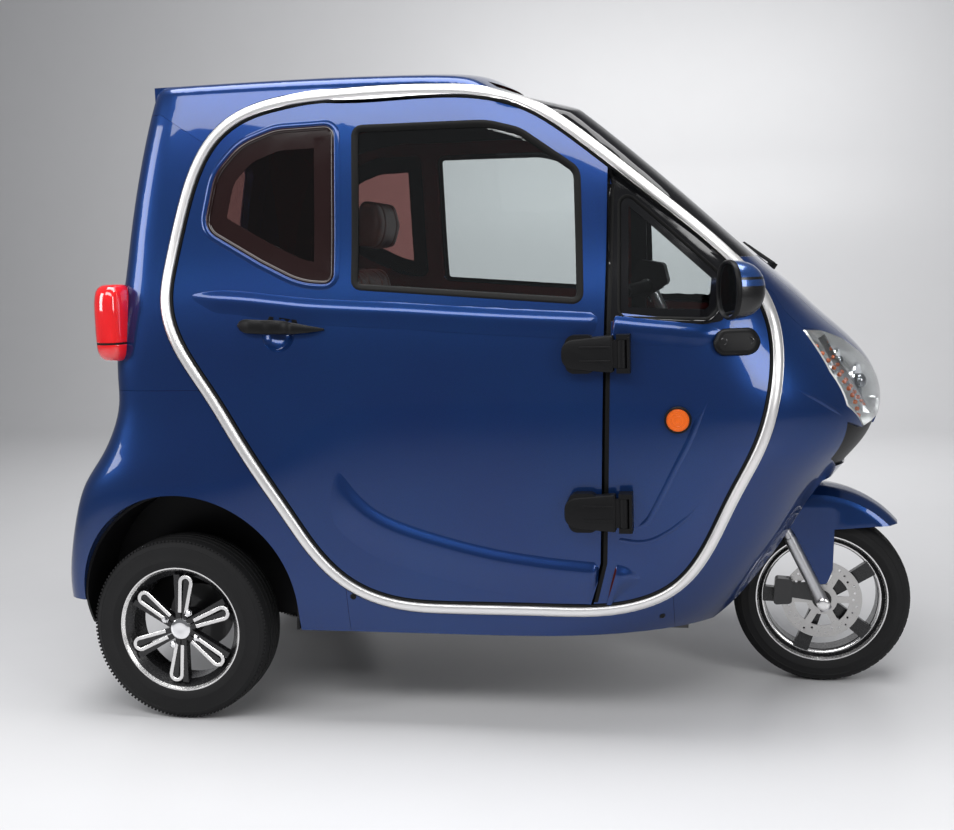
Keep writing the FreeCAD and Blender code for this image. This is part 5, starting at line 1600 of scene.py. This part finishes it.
def settle(piece, pressure, cap, frames=20):
    """Blows the cushion up, caps how far each point moves, and leaves a plain mesh."""
    start = [vert.co.copy() for vert in piece.data.vertices]
    cloth = piece.modifiers.new("padding", "CLOTH")
    cloth.settings.quality = 5
    cloth.settings.mass = 0.3
    cloth.settings.tension_stiffness = 15.0
    cloth.settings.compression_stiffness = 15.0
    cloth.settings.bending_stiffness = 1.0
    cloth.settings.use_pressure = True
    cloth.settings.uniform_pressure_force = pressure
    cloth.settings.effector_weights.gravity = 0.0
    cloth.point_cache.frame_start = 1
    cloth.point_cache.frame_end = frames
    scene = bpy.context.scene
    for frame_number in range(1, frames + 1):
        scene.frame_set(frame_number)
    result = bpy.data.meshes.new_from_object(piece.evaluated_get(bpy.context.evaluated_depsgraph_get()))
    piece.modifiers.clear()
    scene.frame_set(1)
    for vert, before in zip(result.vertices, start):
        move = vert.co - before
        if move.length > cap:
            vert.co = before + move * (cap / move.length)
    piece.data = result
    return piece


def soft_piece(name, outline, radius, half, inset, voxel=0.006, pressure=4.0, cap=0.010, channels=(),
               smooth=6,
               refine=True):
    bm = side_form(outline, radius, half, inset)
    mesh = bpy.data.meshes.new(name)
    bm.to_mesh(mesh)
    bm.free()
    piece = bpy.data.objects.new(name, mesh)
    bpy.context.scene.collection.objects.link(piece)
    remesh = piece.modifiers.new("even mesh", "REMESH")
    remesh.mode = "VOXEL"
    remesh.voxel_size = voxel
    relax = piece.modifiers.new("relax", "SMOOTH")
    relax.iterations = smooth
    bpy.context.view_layer.update()
    even = bpy.data.meshes.new_from_object(piece.evaluated_get(bpy.context.evaluated_depsgraph_get()))
    piece.modifiers.clear()
    piece.data = even
    settle(piece, pressure, cap)
    groove(piece.data, channels)
    if refine:
        finer = piece.modifiers.new("finer", "SUBSURF")
        finer.levels = 1
        finer.render_levels = 1
        bpy.context.view_layer.update()
        piece.data = bpy.data.meshes.new_from_object(piece.evaluated_get(bpy.context.evaluated_depsgraph_get()))
        piece.modifiers.clear()
    piece.data.materials.clear()
    piece.data.materials.append(leather)
    piece.data.polygons.foreach_set("use_smooth", [True] * len(piece.data.polygons))
    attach(piece, "body")
    return piece


def groove(mesh, channels):
    """Presses sewn channels in; each is (kind, place in mm, depth in mm)."""
    for kind, at, depth in channels:
        for vert in mesh.vertices:
            x = (vert.co.x - rear_x) / MM
            y, z = vert.co.y / MM, vert.co.z / MM
            value = {"y": abs(y), "x": x, "z": z}[kind]
            share = math.exp(-((value - at) / 5.0) ** 2)
            if share > 0.01:
                vert.co -= vert.normal * depth * share * MM


SEAT = ((414, 626), (872, 626), (886, 660), (868, 696), (478, 680), (430, 690))
BACK = ((384, 660), (460, 712), (440, 1000), (410, 1192), (342, 1192), (330, 1176))
REST = ((396, 1250), (462, 1246), (482, 1310), (468, 1370), (424, 1380), (402, 1326))
REAR_PAD = ((-44, 700), (226, 700), (238, 734), (212, 760), (-40, 742), (-46, 722))
REAR_BACK = ((-100, 762), (-44, 764), (-68, 1106), (-108, 1106), (-112, 1070), (-104, 900))
seat = soft_piece("seat_cushion", SEAT, 22, 212.0, 16.0, channels=(("y", 70.0, 5.0), ("y", 150.0, 7.0),
        ("x", 640.0, 4.0)))
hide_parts("driver_seat")
soft_piece("seat_back", BACK, 24, 202.0, 18.0, channels=(("y", 66.0, 5.0), ("y", 142.0, 7.0),
                                                         ("z", 900.0, 4.0)))
rest = soft_piece("head_cushion", REST, 20, 116.0, 22.0, voxel=0.005, cap=0.012,
                  channels=(("y", 62.0, 4.0),))
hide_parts("headrest")
rear = soft_piece("rear_cushion", REAR_PAD, 16, 366.0, 14.0, voxel=0.008, channels=(("y", 0.0, 6.0),
        ("y", 180.0, 5.0)),
                  refine=False)
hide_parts("rear_seat")
soft_piece("rear_backrest", REAR_BACK, 14, 352.0, 14.0, voxel=0.008, channels=(("y", 0.0, 6.0),
        ("y", 176.0, 5.0)),
           refine=False)

# %% [markdown]
# Under the cushions are plain moulded shells: the driver's seat has a pedestal and a back shell
# with two chrome posts for the headrest, and the rear seat stands on a box.

# %% Seat shells


def side_plate(name, outline, radius, y0, y1, material, edge=4.0, body="body"):
    """A side view outline pushed from y0 to y1, with its edges bevelled."""
    path = evenly(rounded_corners(outline, radius, 6), 96)
    bm = bmesh.new()
    rings = []
    for y, pull in ((y0, edge), (y0 + 0.35 * edge, 0.35 * edge), (y0 + edge, 0.0), (y1 - edge, 0.0),
                    (y1 - 0.35 * edge, 0.35 * edge), (y1, edge)):
        loop = moved_in(path, pull) if pull else path
        rings.append([bm.verts.new(place(x, y, z)) for x, z in loop])
    size = len(path)
    for first, second in zip(rings, rings[1:]):
        for k in range(size):
            bm.faces.new((first[k], first[(k + 1) % size], second[(k + 1) % size], second[k]))
    bm.faces.new(rings[0])
    bm.faces.new(list(reversed(rings[-1])))
    return finish_piece(name, bm, material, body)


side_plate("seat_pedestal", ((400, 561), (856, 561), (862, 612), (404, 618)), 10, -222.0, 222.0,
           dark_plastic)
side_plate("seat_shell", ((374, 646), (398, 664), (346, 1186), (326, 1186), (322, 1170)), 6, -206.0, 206.0,
           dark_plastic)
side_plate("rear_bench", ((-70, 433), (226, 433), (236, 690), (-52, 692)), 10, -340.0, 340.0, dark_plastic)
bm = bmesh.new()
for y in (-45.0, 45.0):
    tube(bm, [place(384.0, y, 1180.0), place(398.0, y, 1212.0), place(418.0, y, 1258.0)], 6 * MM)
finish_piece("headrest_posts", bm, chrome, "body")

# %% [markdown]
# ## Hinge covers
# Each door hinge is hidden by a moulded cover with a round rear end. The covers ride on the
# doors; two fine ribs run along them.

# %% Hinge covers
bm_all = bmesh.new()


def cover_plate(bm, outline, radius, y_outer, y_inner, edge):
    path = evenly(rounded_corners(outline, radius, 10), 80)
    rings = []
    for y, pull in ((y_inner, 0.0), (y_outer + edge, 0.0), (y_outer + 0.3 * edge, 0.3 * edge), (y_outer,
            edge)):
        loop = moved_in(path, pull) if pull else path
        rings.append([bm.verts.new(place(x, y, z)) for x, z in loop])
    for first, second in zip(rings, rings[1:]):
        for k in range(80):
            bm.faces.new((first[k], first[(k + 1) % 80], second[(k + 1) % 80], second[k]))
    bm.faces.new(rings[0])
    bm.faces.new(list(reversed(rings[-1])))


for low, high in ((924.0, 1016.0), (538.0, 634.0)):
    middle = (low + high) / 2.0
    half = (high - low) / 2.0
    cover_plate(bm_all, ((1046, middle - 0.74 * half), (1170.5, low + 1), (1170.5, high - 1),
                         (1046, middle + 0.74 * half)),
                (31, 4, 4, 31), -599.5, -574.0, 5.0)
    for shift in (-0.36, 0.36):
        cover_plate(bm_all, ((1090, middle + shift * half - 2.5), (1165, middle + shift * half - 2.5),
                             (1165, middle + shift * half + 2.5), (1090, middle + shift * half + 2.5)), 2,
                    -601.0, -598.0, 1.0)
covers = finish_piece("hinge_covers_right", bm_all, black_plastic, "door_right")
mirror_piece(covers, "hinge_covers_left", "door_left")
bm = bmesh.new()
for low, high in ((924.0, 1016.0), (538.0, 634.0)):
    for shift in (-0.5, -0.16, 0.16, 0.5):
        z = (low + high) / 2.0 + shift * (high - low) * 0.8
        cover_plate(bm, ((1204.6, z - 3), (1209.4, z - 3), (1209.4, z + 3), (1204.6, z + 3)), 1.2, -603.5,
                    -601.5, 0.8)
ribs = finish_piece("hinge_ribs_right", bm, black_plastic, "body")
mirror_piece(ribs, "hinge_ribs_left", "body")

# %% [markdown]
# ## Painted shade by the handles
# Behind each handle the door would have a round recess. No recess is cut: a thin black half-round
# sheet on the door is painted shade where the recess's upper half would be shaded; the lower half stays body colour.

# %% Painted recess shade
bm = bmesh.new()
rows = []
for reach in (0.05, 0.35, 0.7, 0.94, 1.0):
    row = []
    for step in range(25):
        turn = math.pi * step / 24.0
        x = 337.0 + 42.0 * reach * math.cos(turn)
        z = 1053.0 + 46.0 * reach * math.sin(turn)
        spot = on_body(x, z)
        point = place(x, 0.0, z)
        point.y = -559.0 * MM if spot is None else max(min(spot[0].y, -552.0 * MM), -566.0 * MM)
        point.y -= 1.2 * MM if reach < 0.99 else -0.6 * MM
        row.append(bm.verts.new(point))
    rows.append(row)
for first, second in zip(rows, rows[1:]):
    for k in range(24):
        bm.faces.new((first[k], first[k + 1], second[k + 1], second[k]))
bmesh.ops.solidify(bm, geom=bm.faces[:], thickness=0.002)
# Painted shade: this black sheet stands for the shaded upper half of the handle recess.
recess_shade = finish_piece("handle_recess_shade_right", bm, black_plastic, "door_right")
mirror_piece(recess_shade, "handle_recess_shade_left", "door_left")

# %% [markdown]
# ## Number plate and grille
# The number plate is blank, with two screws. The grille has fine cross bars.

# %% Plate and grille
plate_z = 540.0
bm = bmesh.new()
front = cad_box[0][0] if isinstance(cad_box[0], (list, tuple)) else cad_box[0].x
plate_back = front + 4.8 * MM
corners = rounded_corners(((-120, plate_z - 55), (120, plate_z - 55), (120, plate_z + 55), (-120,
        plate_z + 55)), 10, 6)
rings = []
for x, pull in ((plate_back, 0.0), (plate_back - 4.6 * MM, 0.0), (plate_back - 5.2 * MM, 1.2)):
    loop = moved_in(corners, pull) if pull else corners
    rings.append([bm.verts.new((x, y * MM, z * MM)) for y, z in loop])
for first, second in zip(rings, rings[1:]):
    for k in range(len(corners)):
        n = (k + 1) % len(corners)
        bm.faces.new((first[k], first[n], second[n], second[k]))
bm.faces.new(rings[0])
bm.faces.new(list(reversed(rings[-1])))
for y in (-80.0, 80.0):
    spin(bm, (plate_back - 5.2 * MM, y * MM, plate_z * MM), (-1.0, 0.0, 0.0),
         ((-1.0, 0.0), (-1.0, 6.0), (0.4, 6.0), (1.4, 4.4), (1.5, 0.0)), sides=24)
finish_piece("number_plate", bm, pale_plastic, "body")

grille_skin = ray_tree("nose_grille")
bm = bmesh.new()
for z in (662.0, 676.0, 690.0, 704.0, 718.0):
    line = []
    for step in range(41):
        y = -300.0 + 15.0 * step
        hit = grille_skin.ray_cast(place(2100.0, y, z), Vector((-1.0, 0.0, 0.0)), 1.2)
        if hit[0] is not None and hit[0].x > rear_x + 1.55:
            line.append(hit[0] + Vector((0.5 * MM, 0.0, 0.0)))
    if len(line) > 4:
        tube(bm, line, 2.2 * MM, sides=8)
finish_piece("grille_bars", bm, gloss_black, "body")

# %% [markdown]
# ## Cabin
# The instrument on the handlebar has a dark display. Rubber grips and two levers
# sit on the bar.

# %% Handlebar details
bar_low, bar_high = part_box("handlebar")
rake = math.radians(26.0)
axis_dir = Vector((-math.sin(rake), 0.0, math.cos(rake)))
foot = place(1689.0 - 32.0 / math.cos(rake), 0.0, 240.0)
hub_top = foot + axis_dir * ((1095.0 - 240.0) / math.cos(rake)) * MM
for key, sign in (("right", -1.0), ("left", 1.0)):
    start = hub_top + Vector((-12.0, 150.0 * sign, 22.0)) * MM
    end = hub_top + Vector((-62.0, 268.0 * sign, 12.0)) * MM
    bm = bmesh.new()
    along = (end - start)
    length = along.length / MM
    profile = [(0.0, 11.0), (0.0, 19.0), (3.0, 20.5), (7.0, 19.0), (9.0, 16.6)]
    for ridge_index in range(int((length - 16.0) / 6.0)):
        base_at = 10.0 + 6.0 * ridge_index
        profile += [(base_at, 16.2), (base_at + 1.2, 17.6), (base_at + 3.4, 17.6), (base_at + 4.6, 16.2)]
    profile += [(length, 16.5), (length + 1.5, 14.0), (length + 1.5, 11.0)]
    spin(bm, start, along, profile, sides=40)
    finish_piece("bar_grip_" + key, bm, seal_rubber, "steering")
    bm = bmesh.new()
    lever = [start + Vector((18.0, -8.0 * sign, 2.0)) * MM, start + Vector((38.0, 10.0 * sign, 0.0)) * MM,
             start + Vector((34.0, 60.0 * sign, -4.0)) * MM, start + Vector((12.0, 112.0 * sign, -8.0)) * MM]
    tube(bm, lever, 4.5 * MM, sides=12)
    finish_piece("bar_lever_" + key, bm, black_steel, "steering")
bm = bmesh.new()
display_face = []
for part in range(2):
    display_face.append([])
shell = ray_tree("handlebar")
rows = []
for row in range(7):
    line = []
    for column in range(13):
        y = -66.0 + 132.0 * column / 12.0
        x = -34.0 + 50.0 * row / 6.0
        origin = hub_top + Vector((x, y, 260.0)) * MM
        hit = shell.ray_cast(origin, Vector((0.0, 0.0, -1.0)), 0.4)
        spot = hit[0] if hit[0] is not None else hub_top + Vector((x, y, 90.0)) * MM
        line.append(bm.verts.new(spot + Vector((0.0, 0.0, 1.4 * MM))))
    rows.append(line)
for first, second in zip(rows, rows[1:]):
    for k in range(12):
        bm.faces.new((first[k], first[k + 1], second[k + 1], second[k]))
bmesh.ops.solidify(bm, geom=bm.faces[:], thickness=0.002)
finish_piece("display", bm, gloss_black, "steering")

# %% [markdown]
# ## Door gap seals
# The gap in front of each door is closed by a soft black seal on the front panel's edge. It
# shows as a black band from the top of the opening to its foot.

# %% Door gap seals
GAP_LINE = ((1164, 1700), (1155, 1215), (1149, 1000), (1137, 612), (1130, 450), (1104, 349), (1070, 250))
ON_PANEL = 8.0
knots = np.array(GAP_LINE, dtype=float)
gap_path = []
for z in np.linspace(1372.0, 346.0, 90):
    gap_path.append((float(np.interp(z, knots[::-1, 1], knots[::-1, 0])) + ON_PANEL, float(z)))
laid = lay_path(side_skin, gap_path, closed=False)
bm = bmesh.new()
stations = []
for point, normal in laid:
    stations.append((point, Vector((1.0, 0.0, 0.0)), Vector((0.0, -1.0, 0.0))))
sweep(bm, stations, ((-5.0, -6.0), (-5.0, 0.2), (-3.4, 1.1), (3.6, 1.1), (5.0, 0.2), (5.0, -6.0)))
seal = finish_piece("door_gap_seal_right", bm, deep_rubber, "body", sharp=50.0)
mirror_piece(seal, "door_gap_seal_left", "body")

# %% [markdown]
# ## Studio
# The floor is a plain pale sheet that curves up behind the car. A large soft lamp hangs above,
# with a smaller one on each side, and the world fills the rest with an even grey. The camera
# stands at the right side of the car, about three and a half metres away, at chest height.

# %% Floor


def make_floor():
    bm = bmesh.new()
    rows = [(-9.0, 0.0), (5.0, 0.0)]
    for step in range(1, 13):
        turn = math.radians(90.0 * step / 12.0)
        rows.append((5.0 + 2.0 * math.sin(turn), 2.0 - 2.0 * math.cos(turn)))
    rows.append((7.0, 9.0))
    previous = None
    for y, z in rows:
        pair = [bm.verts.new((x, y, z)) for x in (-12.0, 12.0)]
        if previous:
            bm.faces.new((previous[0], previous[1], pair[1], pair[0]))
        previous = pair
    mesh = bpy.data.meshes.new("floor")
    bm.to_mesh(mesh)
    bm.free()
    floor = bpy.data.objects.new("floor", mesh)
    bpy.context.scene.collection.objects.link(floor)
    mesh.polygons.foreach_set("use_smooth", [True] * len(mesh.polygons))
    mesh.materials.append(new_finish("studio floor", (0.62, 0.62, 0.63), (0.60, 0.60, 0.61), rough=(0.34,
            0.42),
                                     grain_scale=40.0, depth=0.0))
    return floor


floor = make_floor()

# %% Lamps and world


def soft_lamp(name, place, target, size, power, colour=(1.0, 1.0, 1.0)):
    light = bpy.data.lights.new(name, "AREA")
    light.shape = "RECTANGLE"
    light.size, light.size_y = size
    light.energy = power
    light.color = colour
    lamp = bpy.data.objects.new(name, light)
    lamp.location = place
    lamp.rotation_euler = (Vector(target) - Vector(place)).to_track_quat("-Z", "Y").to_euler()
    bpy.context.scene.collection.objects.link(lamp)
    return lamp


soft_lamp("top lamp", (0.0, -0.4, 3.6), (0.0, 0.0, 0.8), (4.2, 1.4), 150.0)
soft_lamp("side strip lamp", (-0.6, -3.4, 3.4), (0.0, -0.4, 0.9), (4.6, 1.0), 112.0)
soft_lamp("front side lamp", (3.4, -3.2, 2.2), (0.4, 0.0, 0.9), (1.2, 1.8), 60.0)
soft_lamp("rear side lamp", (-4.0, -2.4, 2.2), (-0.4, 0.0, 0.9), (1.0, 2.0), 55.0)
soft_lamp("backdrop lamp", (0.0, 2.6, 3.4), (0.0, 5.6, 1.6), (5.0, 1.0), 160.0)
world = bpy.data.worlds.new("studio")
world.use_nodes = True
world.node_tree.nodes["Background"].inputs["Color"].default_value = (0.80, 0.82, 0.86, 1.0)
world.node_tree.nodes["Background"].inputs["Strength"].default_value = 0.22
bpy.context.scene.world = world
bpy.context.scene.view_settings.view_transform = "Standard"

# %% Camera
camera_place = Vector((1.4299 + rear_x, -3.5371, 1.1936))
camera_yaw = -0.1987
camera_pitch = -0.1217
camera_roll = -0.0300
image_width = 954
focal_pixels = 1243.2
film_width = 36.0


def make_camera():
    forward = Vector((math.sin(camera_yaw) * math.cos(camera_pitch),
                      math.cos(camera_yaw) * math.cos(camera_pitch),
                      math.sin(camera_pitch)))
    across = Vector((math.cos(camera_yaw), -math.sin(camera_yaw), 0.0))
    above = across.cross(forward)
    turned_across = math.cos(camera_roll) * across + math.sin(camera_roll) * above
    turned_above = -math.sin(camera_roll) * across + math.cos(camera_roll) * above
    data = bpy.data.cameras.new("camera")
    data.sensor_width = film_width
    data.lens = focal_pixels / image_width * film_width
    camera = bpy.data.objects.new("camera", data)
    bpy.context.scene.collection.objects.link(camera)
    matrix = camera.matrix_world.copy()
    for row in range(3):
        matrix[row][0] = turned_across[row]
        matrix[row][1] = turned_above[row]
        matrix[row][2] = -forward[row]
        matrix[row][3] = camera_place[row]
    camera.matrix_world = matrix
    bpy.context.scene.camera = camera
    return camera


camera = make_camera()
print("camera lens", round(camera.data.lens, 2), "mm")
